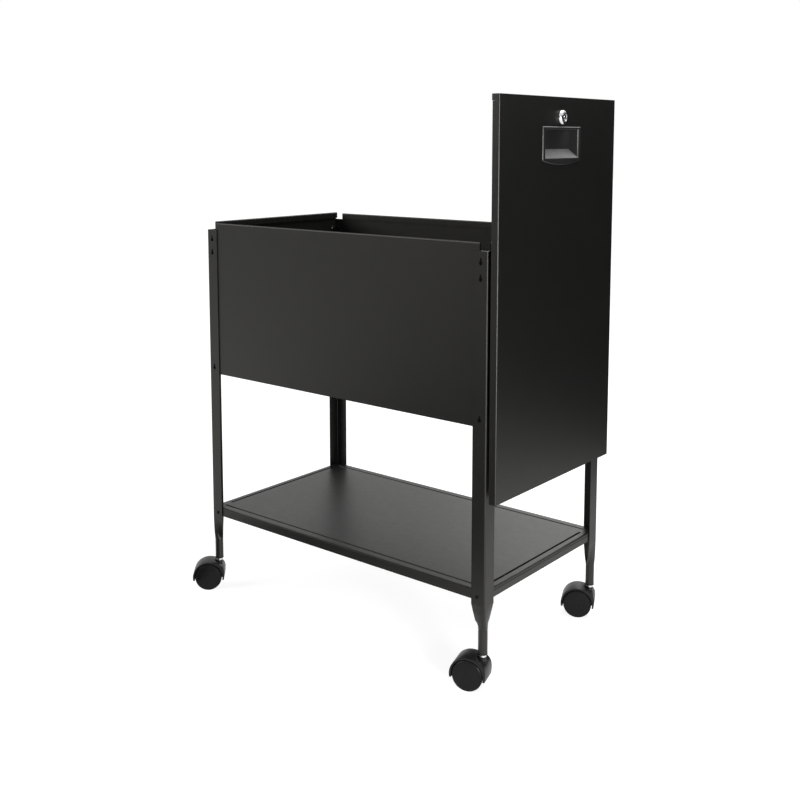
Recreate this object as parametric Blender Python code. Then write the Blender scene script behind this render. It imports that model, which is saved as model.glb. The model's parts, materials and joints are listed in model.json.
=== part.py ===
"""Mobile tub-file cart on twin-wheel casters, with a locking lid that parks at one end.

Metres, +Z up. X runs along the tub and the parked lid hangs at the +X end; front is the -Y side.
The lid slides through two swinging guide arms, so it can be drawn up, turned over and laid on the rim.
"""
import math

import bmesh
import bpy
from mathutils import Matrix, Vector

# Sheet thicknesses and the gap left between pieces that touch
FIT = 0.0003
SHEET = 0.0010
LEG_SHEET = 0.0015
BEND = 0.0020

# Overall frame
FRAME_LENGTH = 0.634
FRAME_WIDTH = 0.356
RIM_HEIGHT = 0.709
TUB_DEPTH = 0.286
HALF_LENGTH = FRAME_LENGTH / 2
HALF_WIDTH = FRAME_WIDTH / 2
PANEL_X = HALF_LENGTH - LEG_SHEET - FIT
PANEL_Y = HALF_WIDTH - LEG_SHEET - FIT
TUB_BOTTOM = RIM_HEIGHT - TUB_DEPTH

# Legs of bent angle, rolled into a tube at the foot
LEG_FLANGE = 0.0254
LEG_TOP_DROP = 0.0125
LEG_TOP = RIM_HEIGHT - LEG_TOP_DROP
LEG_BOTTOM = 0.0605
LEG_BEND = 0.0025
LEG_RUN_STEPS = 4
FOOT_RADIUS = 0.0076
FOOT_SEAM = 14.0
ROLL_LOW = 0.0965
ROLL_HIGH = 0.1390
ROLL_SHARES = (1.0, 0.42, 0.20, 0.0)
PANEL_END = PANEL_X - (LEG_BEND - LEG_SHEET)

# Keyhole slots that hang the tub on its legs
KEYHOLE_DROPS = (0.031, 0.056, 0.274)
KEYHOLE_ROUND = 0.0034
KEYHOLE_SLOT = 0.0016
KEYHOLE_RISE = 0.0078
STUD_HOLE = 0.0042

# Tub rims, corner notches and bottom flanges
SIDE_HEM = 0.0034
LATCH_HEM = 0.0046
HEM_DROP = 0.0120
LATCH_RISE = 0.0017
LID_END_NOTCH = 0.0160
LATCH_END_NOTCH = 0.0220
LATCH_RIM_CUTS = (0.0180, 0.0035)
LID_RIM_CUTS = (0.0120, 0.0120)
END_FLANGE = 0.0160
END_FLANGE_LIFT = 0.0040
FLOOR_FLANGE = 0.0140
FLOOR_BORDER = 0.0300
FLOOR_RISE = 0.0030

# Rails for letter-size hanging folders
RAIL_INSET = 0.0210
RAIL_SPAN = FRAME_WIDTH - 2 * RAIL_INSET
RAIL_DROP = 0.0480
RAIL_HEIGHT = 0.0140
RAIL_THICK = 0.0020
RAIL_FOOT = 0.0140

# Lower shelf
SHELF_TOP = 0.1630
SHELF_DEPTH = 0.0165
SHELF_CORNER = 0.0030
SHELF_LIP = 0.0100
BEAD_WIDTH = 0.0050
BEAD_DEPTH = 0.0028
SIDE_BEAD_INSET = 0.0160
SIDE_BEAD_END = 0.0142
END_BEAD_INSET = 0.0127
END_BEAD_END = 0.0322
SEAM_DROP = 0.0045
SEAM_HEIGHT = 0.0016
SEAM_DEPTH = 0.0007

# Lid, parked upright outside the +X end
LID_STAND_OFF = 0.0182
LID_SIDE_GAP = 0.0004
LID_HALF_WIDTH = PANEL_Y + LID_SIDE_GAP + SHEET
LID_SKIRT = 0.0124
LID_REST_GAP = 0.0008
LID_LATCH_GAP = 0.0006
LID_REAR_INSET = 0.0030
LID_BOTTOM = 0.3063
LIP_LENGTH = 0.0100
LIP_DEPTH = 0.0134
LID_FACE = HALF_LENGTH + LID_STAND_OFF
LID_INNER = LID_FACE - SHEET

# Guide arms, their pivots and the channels they run in
PIVOT_OUT = 0.0040
PIVOT_X = HALF_LENGTH + PIVOT_OUT
PIVOT_REACH = LID_INNER - PIVOT_X
PIVOT_Z = RIM_HEIGHT + LID_REST_GAP - PIVOT_REACH
GUIDE_INSET = 0.0400
GUIDE_Y = HALF_WIDTH - GUIDE_INSET
CHANNEL_WALL = 0.0012
CHANNEL_HALF = 0.0080
CHANNEL_DEPTH = 0.0090
CHANNEL_SLOT = 0.0037
HEAD_HALF = 0.0050
NECK_HALF = 0.0032
NECK_RISE = 0.0040
ARM_BOSS = 0.0038
PIN_RADIUS = 0.0020
PIN_HALF = 0.0075
STOP_GAP = 0.0005
EAR_GAP = 0.0006
EAR_THICK = 0.0015
BRACKET_HALF = 0.0140
EAR_RADIUS = 0.0034
BRACKET_FALL = 0.0140
ARM_SLOT_HALF = 0.0095
ARM_SLOT_FALL = 0.0060

# Lid length, and the lead that sets an arm's head at the lid's rear stop when the lid is shut
STOP_REACH = HEAD_HALF + STOP_GAP + CHANNEL_WALL + STOP_GAP
LID_SHUT_FRONT = -PANEL_X + LATCH_HEM + LID_LATCH_GAP
LID_SHUT_REAR = HALF_LENGTH - LID_REAR_INSET
LID_LENGTH = LID_SHUT_REAR - LID_SHUT_FRONT
LID_TOP = LID_BOTTOM + LID_LENGTH
HEAD_LEAD = PIVOT_X + STOP_REACH - LID_SHUT_REAR
HEAD_Z = PIVOT_Z + HEAD_LEAD

# Recessed handle cup, measured down from the lid's upper edge
HANDLE_DROP = 0.0467
HANDLE_WIDTH = 0.1170
HANDLE_HEIGHT = 0.0540
HANDLE_SAG = 0.0068
HANDLE_PROUD = 0.0022
HANDLE_BORDER = 0.0085
HANDLE_BORDER_TOP = 0.0050
HANDLE_BORDER_LOW = 0.0057
HANDLE_DEPTH = 0.0160
HANDLE_FLOOR_RISE = 0.0125
HANDLE_WALL = 0.0015
HANDLE_SEGMENTS = 10

# Cam lock above the handle
LOCK_DROP = 0.0320
LOCK_Z = LID_TOP - LOCK_DROP
LOCK_BEZEL = 0.0118
LOCK_PROUD = 0.0060
LOCK_BARREL = 0.0090
LOCK_BACK = 0.0130
LOCK_NUT_RADIUS = 0.0135
LOCK_NUT_THICK = 0.0040
PLUG_RADIUS = 0.0060
PLUG_STUB = 0.0030
KEY_SLOT_WIDTH = 0.0016
KEY_SLOT_HEIGHT = 0.0075
KEY_SLOT_DEPTH = 0.0040
CAM_THICK = 0.0020
CAM_HALF = 0.0070
CAM_OVERHANG = 0.0025
CAM_REACH = LOCK_DROP + CAM_OVERHANG

# Twin-wheel casters and the angle each one is swivelled to, in degrees
CASTER_YAWS = {"front_latch": 44.0, "front_lid": 17.0, "back_latch": 33.0, "back_lid": 25.0}
CASTER_TRAIL = 0.0206
WHEEL_RADIUS = 0.0254
WHEEL_WIDTH = 0.0138
WHEEL_GAP = 0.0005
WHEEL_EDGE = 0.0012
WHEEL_HUB = 0.0075
WHEEL_RIM = 0.0035
WHEEL_DISC = 0.0035
WEB_HALF = 0.0036
HOOD_INNER = 0.0267
HOOD_OUTER = 0.0297
HOOD_HALF = 0.0176
HOOD_BULGE = 0.0040
HOOD_BULGE_AT = 36.0
HOOD_BULGE_SPREAD = 24.0
HOOD_FROM = -12.0
HOOD_TO = 191.0
HOOD_STEPS = 20
HOOD_SADDLE = 0.0080
HOOD_SEAT = 0.0470
HOOD_POCKET = 0.0095
HOOD_BOSS = 0.0058
HOOD_TOP = 0.0540
AXLE_RADIUS = 0.0030
AXLE_BLIND = 0.0040
STEM_RADIUS = 0.0035
STEM_COLLAR = 0.0060
COLLAR_HEIGHT = 0.0043
STEM_TOP = 0.0940
STEM_FOOT = 0.0420
SOCKET_RADIUS = FOOT_RADIUS - LEG_SHEET - FIT
SOCKET_FLANGE = FOOT_RADIUS + FIT
SOCKET_TOP = 0.0955

# Smoothness of round pieces
FINE = 24
COARSE = 14
SMALL = 8
NUT_SIDES = 6
BEND_STEPS = 3
SHARP_ANGLE = math.radians(35)

# Finishes: colour, roughness, metallic
BLACK_STEEL = ((0.035, 0.034, 0.033), 0.45, 0.0)
BLACK_PLASTIC = ((0.018, 0.018, 0.018), 0.40, 0.0)
NYLON = ((0.72, 0.71, 0.66), 0.55, 0.0)
CHROME = ((0.80, 0.80, 0.80), 0.15, 1.0)
ZINC = ((0.62, 0.62, 0.60), 0.35, 1.0)


def clear_scene():
    """Remove whatever the file holds."""
    for old in list(bpy.data.objects):
        bpy.data.objects.remove(old, do_unlink=True)


def skin(bm, low, high):
    """Join two rings of vertices with faces; a ring may be a single vertex."""
    count = max(len(low), len(high))
    for k in range(count):
        n = (k + 1) % count
        if len(low) == 1:
            bm.faces.new((low[0], high[n], high[k]))
        elif len(high) == 1:
            bm.faces.new((low[k], low[n], high[0]))
        else:
            bm.faces.new((low[k], low[n], high[n], high[k]))


def loft(rings):
    """Closed mesh through rings of points, with a face over the first and the last."""
    bm = bmesh.new()
    made = []
    for ring in rings:
        made.append([bm.verts.new(point) for point in ring])
    for low, high in zip(made, made[1:]):
        skin(bm, low, high)
    bm.faces.new(made[0])
    bm.faces.new(made[-1])
    return bm


def prism(outline, axis, start, end):
    """Outline pushed along an axis: (y, z) along X, (x, z) along Y, (x, y) along Z."""
    rings = []
    for at in (start, end):
        if axis == "X":
            rings.append([(at, a, b) for a, b in outline])
        elif axis == "Y":
            rings.append([(a, at, b) for a, b in outline])
        else:
            rings.append([(a, b, at) for a, b in outline])
    return loft(rings)


def box(low, high):
    """Plain block between two corners."""
    corners = [(low[0], low[1]), (high[0], low[1]), (high[0], high[1]), (low[0], high[1])]
    return prism(corners, "Z", low[2], high[2])


def circle(radius, segments, centre=(0.0, 0.0)):
    """Points of a circle."""
    points = []
    for k in range(segments):
        angle = 2 * math.pi * (k + 0.5) / segments
        points.append((centre[0] + radius * math.cos(angle), centre[1] + radius * math.sin(angle)))
    return points


def arc(centre, radius, start, end, steps):
    """Points of an arc, angles in degrees, both ends included."""
    points = []
    for k in range(steps + 1):
        angle = math.radians(start + (end - start) * k / steps)
        points.append((centre[0] + radius * math.cos(angle), centre[1] + radius * math.sin(angle)))
    return points


def lathe(profile, segments, bored=False):
    """Profile of (radius, height) turned about Z; a bored profile closes on itself."""
    bm = bmesh.new()
    rings = []
    for radius, height in profile:
        if radius == 0.0:
            rings.append([bm.verts.new((0.0, 0.0, height))])
        else:
            rings.append([bm.verts.new((x, y, height)) for x, y in circle(radius, segments)])
    pairs = list(zip(rings, rings[1:]))
    if bored:
        pairs.append((rings[-1], rings[0]))
    for low, high in pairs:
        skin(bm, low, high)
    return bm


def turned(bm, matrix):
    """The same mesh after a turn or a move."""
    bmesh.ops.transform(bm, matrix=matrix, verts=bm.verts)
    return bm


def to_mesh(bm, name):
    """Finished mesh with its faces pointing outward."""
    bmesh.ops.recalc_face_normals(bm, faces=bm.faces)
    mesh = bpy.data.meshes.new(name)
    bm.to_mesh(mesh)
    bm.free()
    return mesh


def boolean(mesh, tools, operation):
    """Mesh after joining or cutting each of the tool meshes."""
    piece = bpy.data.objects.new("piece", mesh)
    bpy.context.scene.collection.objects.link(piece)
    helpers = [piece]
    for tool in tools:
        helper = bpy.data.objects.new("tool", to_mesh(tool, "tool"))
        bpy.context.scene.collection.objects.link(helper)
        helpers.append(helper)
        step = piece.modifiers.new("step", "BOOLEAN")
        step.operation = operation
        step.solver = "EXACT"
        step.object = helper
    graph = bpy.context.evaluated_depsgraph_get()
    result = bpy.data.meshes.new_from_object(piece.evaluated_get(graph))
    for helper in helpers:
        bpy.data.objects.remove(helper, do_unlink=True)
    return result


def cut(mesh, tools):
    """Mesh with the tools cut away."""
    return boolean(mesh, tools, "DIFFERENCE")


def joined(mesh, tools):
    """Mesh with the tools joined on."""
    return boolean(mesh, tools, "UNION")


def add_piece(name, mesh, finish, location=(0.0, 0.0, 0.0), yaw=0.0, smooth=False):
    """Named object with its own material, placed by its location and turn about Z."""
    own = mesh.copy()
    own.name = name
    own.materials.clear()
    colour, roughness, metallic = finish
    material = bpy.data.materials.new(name)
    material.use_nodes = True
    shader = material.node_tree.nodes["Principled BSDF"]
    shader.inputs["Base Color"].default_value = (*colour, 1.0)
    shader.inputs["Roughness"].default_value = roughness
    shader.inputs["Metallic"].default_value = metallic
    own.materials.append(material)
    if smooth:
        own.shade_smooth()
        own.set_sharp_from_angle(angle=SHARP_ANGLE)
    piece = bpy.data.objects.new(name, own)
    piece.location = location
    piece.rotation_euler = (0.0, 0.0, yaw)
    bpy.context.scene.collection.objects.link(piece)
    return piece


def add_lid_piece(name, mesh, finish, smooth=False):
    """Piece drawn in place whose origin is moved to the middle of the lid's pivot line."""
    origin = Vector((PIVOT_X, 0.0, PIVOT_Z))
    mesh.transform(Matrix.Translation(-origin))
    add_piece(name, mesh, finish, origin, smooth=smooth)


def keyhole(centre):
    """Outline of a keyhole slot: round hole below, narrow slot above."""
    side = math.degrees(math.asin(KEYHOLE_SLOT / KEYHOLE_ROUND))
    points = arc(centre, KEYHOLE_ROUND, 90 + side, 450 - side, SMALL)
    points += arc((centre[0], centre[1] + KEYHOLE_RISE - KEYHOLE_SLOT), KEYHOLE_SLOT, 0, 180, BEND_STEPS)
    return points


def leg_half(depth, roll):
    """Half a leg's section, from its corner to a flange's edge: flat at roll 0, half a tube at roll 1."""
    flat = arc((LEG_BEND, LEG_BEND), LEG_BEND - depth, 225, 270, BEND_STEPS)
    run = LEG_FLANGE - LEG_BEND
    for k in range(1, LEG_RUN_STEPS + 1):
        flat.append((LEG_BEND + run * k / LEG_RUN_STEPS, depth))
    tube = arc((FOOT_RADIUS, FOOT_RADIUS), FOOT_RADIUS - depth, 225, 405 - FOOT_SEAM, len(flat) - 1)
    points = []
    for (flat_a, flat_b), (tube_a, tube_b) in zip(flat, tube):
        points.append((flat_a + (tube_a - flat_a) * roll, flat_b + (tube_b - flat_b) * roll))
    return points


def leg_ring(z, roll, sign_x, sign_y):
    """Section of a leg at one height, whose outer corner is a corner of the frame."""
    outer = leg_half(0.0, roll)
    inner = leg_half(LEG_SHEET, roll)
    points = outer[::-1]
    points += [(b, a) for a, b in outer[1:]]
    points += [(b, a) for a, b in inner[::-1]]
    points += inner[1:]
    return [(sign_x * (HALF_LENGTH - a), sign_y * (HALF_WIDTH - b), z) for a, b in points]


def leg_levels():
    """Heights of a leg's sections and how far each is rolled up."""
    step = (ROLL_HIGH - ROLL_LOW) / (len(ROLL_SHARES) - 1)
    levels = [(LEG_BOTTOM, 1.0)]
    for k, share in enumerate(ROLL_SHARES):
        levels.append((ROLL_LOW + step * k, share))
    levels.append((LEG_TOP, 0.0))
    return levels


def make_leg(name, sign_x, sign_y):
    """Leg with a rolled foot and keyhole slots in both flanges."""
    body = to_mesh(loft([leg_ring(z, roll, sign_x, sign_y) for z, roll in leg_levels()]), name)
    tools = []
    margin = 2 * LEG_SHEET
    for drop in KEYHOLE_DROPS:
        z = RIM_HEIGHT - drop
        x = sign_x * (HALF_LENGTH - LEG_FLANGE / 2)
        y = sign_y * (HALF_WIDTH - LEG_FLANGE / 2)
        side = sorted((sign_y * (HALF_WIDTH + margin), sign_y * (HALF_WIDTH - margin)))
        end = sorted((sign_x * (HALF_LENGTH + margin), sign_x * (HALF_LENGTH - margin)))
        tools.append(prism(keyhole((x, z)), "Y", *side))
        tools.append(prism(keyhole((y, z)), "X", *end))
    add_piece(name, cut(body, tools), BLACK_STEEL, smooth=True)


def panel_profile(height, hem, flange):
    """Section of a tub panel as (depth, z): bottom flange, wall and folded rim."""
    half = hem / 2
    crown = (half, height - half)
    points = [(flange, TUB_BOTTOM)]
    points += arc((BEND, TUB_BOTTOM + BEND), BEND, 270, 180, BEND_STEPS)
    points += arc(crown, half, 180, 0, 2 * BEND_STEPS)
    points += [(hem, height - HEM_DROP), (hem - SHEET, height - HEM_DROP)]
    points += arc(crown, half - SHEET, 0, 180, 2 * BEND_STEPS)
    points += arc((BEND, TUB_BOTTOM + BEND), BEND - SHEET, 180, 270, BEND_STEPS)
    points += [(flange, TUB_BOTTOM + SHEET)]
    return points


def stud_holes(axis, across, near, far):
    """Holes through a panel behind the keyholes of both its legs."""
    tools = []
    for sign in (-1, 1):
        for drop in KEYHOLE_DROPS:
            hole = circle(STUD_HOLE, SMALL, (sign * across, RIM_HEIGHT - drop))
            tools.append(prism(hole, axis, near, far))
    return tools


def make_side_panel(name, sign_y):
    """Long tub panel, notched at its upper corners."""
    fold = panel_profile(RIM_HEIGHT, SIDE_HEM, FLOOR_FLANGE)
    profile = [(sign_y * (PANEL_Y - depth), z) for depth, z in fold]
    body = to_mesh(prism(profile, "X", -PANEL_END, PANEL_END), name)
    spare = 2 * SIDE_HEM
    near, far = sorted((sign_y * (PANEL_Y + spare), sign_y * (PANEL_Y - spare)))
    tools = [
        box((HALF_LENGTH - LID_END_NOTCH, near, LEG_TOP), (HALF_LENGTH, far, RIM_HEIGHT + spare)),
        box((-HALF_LENGTH, near, LEG_TOP), (-HALF_LENGTH + LATCH_END_NOTCH, far, RIM_HEIGHT + spare)),
    ]
    edge, back = sorted((sign_y * (PANEL_Y + SHEET), sign_y * (PANEL_Y - 2 * SHEET)))
    tools += stud_holes("Y", HALF_LENGTH - LEG_FLANGE / 2, edge, back)
    add_piece(name, cut(body, tools), BLACK_STEEL, smooth=True)


def end_panel_mesh(name, sign_x, height, hem, rim_cuts):
    """End tub panel with side flanges; its rim and floor flange are cut back at the corners."""
    half = PANEL_Y - SHEET - FIT
    profile = [(sign_x * (PANEL_X - depth), z) for depth, z in panel_profile(height, hem, FLOOR_FLANGE)]
    body = to_mesh(prism(profile, "Y", -half, half), name)
    spare = 2 * hem
    outer = sign_x * (PANEL_X + spare)
    flanges = []
    tools = []
    for sign_y, rim_cut in zip((-1, 1), rim_cuts):
        side_x = sorted((sign_x * (PANEL_X - SHEET / 2), sign_x * (PANEL_X - END_FLANGE)))
        side_y = sorted((sign_y * (half - SHEET), sign_y * half))
        low = (side_x[0], side_y[0], TUB_BOTTOM + END_FLANGE_LIFT)
        flanges.append(box(low, (side_x[1], side_y[1], LEG_TOP)))
        rim_end = sorted((sign_y * (HALF_WIDTH - rim_cut), sign_y * HALF_WIDTH))
        rim_x = sorted((outer, sign_x * (PANEL_X - spare)))
        tools.append(box((rim_x[0], rim_end[0], LEG_TOP), (rim_x[1], rim_end[1], height + spare)))
        flange_end = sorted((sign_y * (PANEL_Y - FLOOR_FLANGE - FIT), sign_y * HALF_WIDTH))
        flange_x = sorted((outer, sign_x * (PANEL_X - 2 * FLOOR_FLANGE)))
        low = (flange_x[0], flange_end[0], TUB_BOTTOM - BEND)
        tools.append(box(low, (flange_x[1], flange_end[1], TUB_BOTTOM + BEND + FIT)))
    edge, back = sorted((sign_x * (PANEL_X + SHEET), sign_x * (PANEL_X - 2 * SHEET)))
    tools += stud_holes("X", HALF_WIDTH - LEG_FLANGE / 2, edge, back)
    for drop in KEYHOLE_DROPS:
        hole = circle(STUD_HOLE, SMALL, (sign_x * (HALF_LENGTH - LEG_FLANGE / 2), RIM_HEIGHT - drop))
        tools.append(prism(hole, "Y", -HALF_WIDTH, HALF_WIDTH))
    return cut(joined(body, flanges), tools)


def make_end_panels():
    """Latch end at -X, whose wide rim the lock cam hooks under, and slotted lid end at +X."""
    latch = end_panel_mesh("panel_latch_end", -1, RIM_HEIGHT + LATCH_RISE, LATCH_HEM, LATCH_RIM_CUTS)
    add_piece("panel_latch_end", latch, BLACK_STEEL, smooth=True)
    lid_end = end_panel_mesh("panel_lid_end", 1, RIM_HEIGHT, SIDE_HEM, LID_RIM_CUTS)
    slots = []
    for sign_y in (-1, 1):
        y = sign_y * GUIDE_Y
        low = (PANEL_X - 2 * SIDE_HEM, y - ARM_SLOT_HALF, PIVOT_Z - ARM_SLOT_FALL)
        slots.append(box(low, (HALF_LENGTH, y + ARM_SLOT_HALF, RIM_HEIGHT + SIDE_HEM)))
    add_piece("panel_lid_end", cut(lid_end, slots), BLACK_STEEL, smooth=True)


def rounded(half_x, half_y, radius, z):
    """Ring of a rectangle with rounded corners."""
    points = []
    for sign_x, sign_y, start in ((1, 1, 0), (-1, 1, 90), (-1, -1, 180), (1, -1, 270)):
        centre = (sign_x * (half_x - radius), sign_y * (half_y - radius))
        points += [(x, y, z) for x, y in arc(centre, radius, start, start + 90, BEND_STEPS)]
    return points


def make_floor():
    """Tub floor: a pressed sheet resting on the bottom flanges."""
    half_x = PANEL_X - BEND - FIT
    half_y = PANEL_Y - BEND - FIT
    low = TUB_BOTTOM + SHEET + FIT
    raised = FLOOR_BORDER + FLOOR_RISE
    rings = []
    for z in (low, low + SHEET):
        steps = [
            rounded(half_x - raised, half_y - raised, BEND, z + FLOOR_RISE),
            rounded(half_x - FLOOR_BORDER, half_y - FLOOR_BORDER, BEND, z),
            rounded(half_x, half_y, BEND, z),
        ]
        rings += steps if z == low else reversed(steps)
    add_piece("tub_floor", to_mesh(loft(rings), "tub_floor"), BLACK_STEEL)


def make_rail(name, sign_y):
    """Hanging-folder rail: a strip on edge, with feet bent outward against the end panels."""
    end = PANEL_X - SHEET - FIT
    inner = RAIL_SPAN / 2 - RAIL_THICK / 2
    outer = RAIL_SPAN / 2 + RAIL_THICK / 2
    foot = inner + RAIL_FOOT
    outline = [(-end, inner), (end, inner), (end, foot), (end - RAIL_THICK, foot), (end - RAIL_THICK, outer),
               (-end + RAIL_THICK, outer), (-end + RAIL_THICK, foot), (-end, foot)]
    outline = [(x, sign_y * y) for x, y in outline]
    top = RIM_HEIGHT - RAIL_DROP
    add_piece(name, to_mesh(prism(outline, "Z", top - RAIL_HEIGHT, top), name), BLACK_STEEL)


def bead_profile(middle, spare, top, floor):
    """Section of a pressed bead: half as wide at its floor as at its top."""
    half = BEAD_WIDTH / 2 + spare
    low = half / 2
    return [(middle - half, top), (middle - low, floor), (middle + low, floor), (middle + half, top)]


def shelf_beads(spare, top, floor):
    """One straight bead inside each edge of the shelf; the four don't meet."""
    tools = []
    for sign in (-1, 1):
        side = bead_profile(sign * (PANEL_Y - SIDE_BEAD_INSET), spare, top, floor)
        reach = PANEL_X - SIDE_BEAD_END + spare
        tools.append(prism(side, "X", -reach, reach))
        end = bead_profile(sign * (PANEL_X - END_BEAD_INSET), spare, top, floor)
        reach = PANEL_Y - END_BEAD_END + spare
        tools.append(prism(end, "Y", -reach, reach))
    return tools


def make_shelf():
    """Lower shelf: a lipped tray with pressed beads in its top and a seam along each end."""
    bottom = SHELF_TOP - SHELF_DEPTH
    under = SHELF_TOP - SHEET

    def ring(inset, z):
        radius = max(SHELF_CORNER - inset, BEND)
        return rounded(PANEL_X - inset, PANEL_Y - inset, radius, z)

    rings = [ring(BEND, SHELF_TOP), ring(BEND / 4, SHELF_TOP - BEND / 4), ring(0.0, SHELF_TOP - BEND)]
    rings += [ring(0.0, bottom), ring(SHELF_LIP, bottom), ring(SHELF_LIP, bottom + SHEET)]
    rings += [ring(SHEET, bottom + SHEET), ring(SHEET, SHELF_TOP - BEND), ring(BEND, under)]
    body = joined(to_mesh(loft(rings), "shelf"), shelf_beads(SHEET, under + SHEET / 2, under - BEAD_DEPTH))
    tools = shelf_beads(0.0, SHELF_TOP + SHEET, SHELF_TOP - BEAD_DEPTH)
    seam = SHELF_TOP - SEAM_DROP
    for sign in (-1, 1):
        span = sorted((sign * (PANEL_X - SEAM_DEPTH), sign * HALF_LENGTH))
        tools.append(box((span[0], -HALF_WIDTH, seam - SEAM_HEIGHT), (span[1], HALF_WIDTH, seam)))
    add_piece("shelf", cut(body, tools), BLACK_STEEL)


def handle_ring(inset_side, inset_top, inset_bottom, sag, x):
    """Ring of the handle cup: straight top and sides, bottom bowed down by a sag."""
    half = HANDLE_WIDTH / 2 - inset_side
    top = LID_TOP - HANDLE_DROP - inset_top
    low = LID_TOP - HANDLE_DROP - HANDLE_HEIGHT + inset_bottom
    points = []
    for k in range(HANDLE_SEGMENTS + 1):
        along = 2 * k / HANDLE_SEGMENTS - 1
        points.append((x, half * along, low - sag * (1 - along * along)))
    points += [(x, half, top), (x, -half, top)]
    return points


def handle_cup_ring(inset, x):
    """Ring of the cup's outer wall, or of the hole in the lid that it passes through."""
    side = HANDLE_BORDER - HANDLE_WALL - inset
    top = HANDLE_BORDER_TOP - HANDLE_WALL - inset
    return handle_ring(side, top, HANDLE_BORDER_LOW - HANDLE_WALL - inset, 0.0, x)


def make_handle():
    """Recessed pull: a flange on the lid and a cup behind it whose floor slopes up to the back."""
    seat = LID_FACE + FIT
    front = LID_FACE + HANDLE_PROUD
    edge = HANDLE_PROUD / 3
    back = LID_FACE - HANDLE_DEPTH
    rings = [
        handle_cup_ring(0.0, back - HANDLE_WALL),
        handle_cup_ring(0.0, seat),
        handle_ring(0.0, 0.0, 0.0, HANDLE_SAG, seat),
        handle_ring(0.0, 0.0, 0.0, HANDLE_SAG, front - edge),
        handle_ring(edge, edge, edge, HANDLE_SAG, front),
        handle_ring(HANDLE_BORDER, HANDLE_BORDER_TOP, HANDLE_BORDER_LOW, 0.0, front),
        handle_ring(HANDLE_BORDER, HANDLE_BORDER_TOP, HANDLE_BORDER_LOW + HANDLE_FLOOR_RISE, 0.0, back),
    ]
    add_lid_piece("handle_cup", to_mesh(loft(rings), "handle_cup"), BLACK_PLASTIC)


def make_lid():
    """Lid panel: a sheet with two side skirts, pierced for the lock and the handle."""
    side = LID_HALF_WIDTH
    free = LID_FACE - LID_SKIRT
    outer = LID_FACE - BEND
    bend_y = side - BEND
    section = [(free, -side)]
    section += arc((outer, -bend_y), BEND, 270, 360, BEND_STEPS)
    section += arc((outer, bend_y), BEND, 0, 90, BEND_STEPS)
    section += [(free, side), (free, side - SHEET)]
    section += arc((outer, bend_y), BEND - SHEET, 90, 0, BEND_STEPS)
    section += arc((outer, -bend_y), BEND - SHEET, 360, 270, BEND_STEPS)
    section += [(free, -side + SHEET)]
    body = to_mesh(prism(section, "Z", LID_BOTTOM, LID_TOP), "lid")
    lip_low = LID_TOP - LIP_LENGTH - FIT
    tools = [
        box((free - SHEET, -side - SHEET, lip_low), (LID_INNER - FIT, side + SHEET, LID_TOP + SHEET)),
        prism(circle(LOCK_BARREL + FIT, FINE, (0.0, LOCK_Z)), "X", LID_INNER - SHEET, LID_FACE + SHEET),
        loft([handle_cup_ring(FIT, LID_INNER - SHEET), handle_cup_ring(FIT, LID_FACE + SHEET)]),
    ]
    add_lid_piece("lid", cut(body, tools), BLACK_STEEL, smooth=True)


def make_lip():
    """Folded lip across the lid's leading end, open towards the lid's middle."""
    low = LID_TOP - LIP_LENGTH
    face = LID_INNER - 2 * FIT
    back = LID_FACE - LIP_DEPTH
    body = to_mesh(box((back, -LID_HALF_WIDTH, low), (face, LID_HALF_WIDTH, LID_TOP)), "lid_lip")
    inside = LID_HALF_WIDTH - SHEET
    hollow = box((back + SHEET, -inside, low - SHEET), (face - SHEET, inside, LID_TOP - SHEET))
    add_lid_piece("lid_lip", cut(body, [hollow]), BLACK_STEEL)


def make_channel(name, sign_y):
    """Lipped channel inside the lid that a guide arm's head runs in, stopped at both ends."""
    base = LID_INNER - FIT
    mouth = base - CHANNEL_DEPTH
    lip = mouth + CHANNEL_WALL
    floor = base - CHANNEL_WALL
    inside = CHANNEL_HALF - CHANNEL_WALL
    half_section = [(base, CHANNEL_HALF), (mouth, CHANNEL_HALF), (mouth, CHANNEL_SLOT), (lip, CHANNEL_SLOT),
                    (lip, inside), (floor, inside)]
    section = half_section + [(x, -y) for x, y in reversed(half_section)]
    y = sign_y * GUIDE_Y
    low = LID_BOTTOM + STOP_GAP
    high = HEAD_Z + STOP_REACH - STOP_GAP
    body = to_mesh(prism([(x, y + across) for x, across in section], "Z", low, high), name)
    stops = []
    for z in (low, high - CHANNEL_WALL):
        for side in (-1, 1):
            span = sorted((y + side * CHANNEL_SLOT, y + side * CHANNEL_HALF))
            stops.append(box((mouth, span[0], z), (base, span[1], z + CHANNEL_WALL)))
    add_lid_piece(name, joined(body, stops), BLACK_STEEL)


def pin_bore(y):
    """Tool for the hole that a pivot pin runs in."""
    hole = circle(PIN_RADIUS + FIT, COARSE, (PIVOT_X, PIVOT_Z))
    return prism(hole, "Y", y - 2 * PIN_HALF, y + 2 * PIN_HALF)


def make_guide_arm(name, sign_y):
    """Moulded arm: a boss on the pivot pin, a neck through the channel's mouth and a sliding head."""
    y = sign_y * GUIDE_Y
    base = LID_INNER - FIT
    head_out = base - CHANNEL_WALL - FIT
    head_in = base - CHANNEL_DEPTH + CHANNEL_WALL + FIT
    neck_end = head_in + SHEET
    outline = arc((PIVOT_X, PIVOT_Z), ARM_BOSS, 135, 315, SMALL)
    outline += [(neck_end, HEAD_Z - NECK_RISE), (neck_end, HEAD_Z + NECK_RISE)]
    body = to_mesh(prism(outline, "Y", y - NECK_HALF, y + NECK_HALF), name)
    head_y = CHANNEL_HALF - CHANNEL_WALL - FIT
    head = box((head_in, y - head_y, HEAD_Z - HEAD_HALF), (head_out, y + head_y, HEAD_Z + HEAD_HALF))
    bore = pin_bore(y)
    add_lid_piece(name, cut(joined(body, [head]), [bore]), NYLON)


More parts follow.
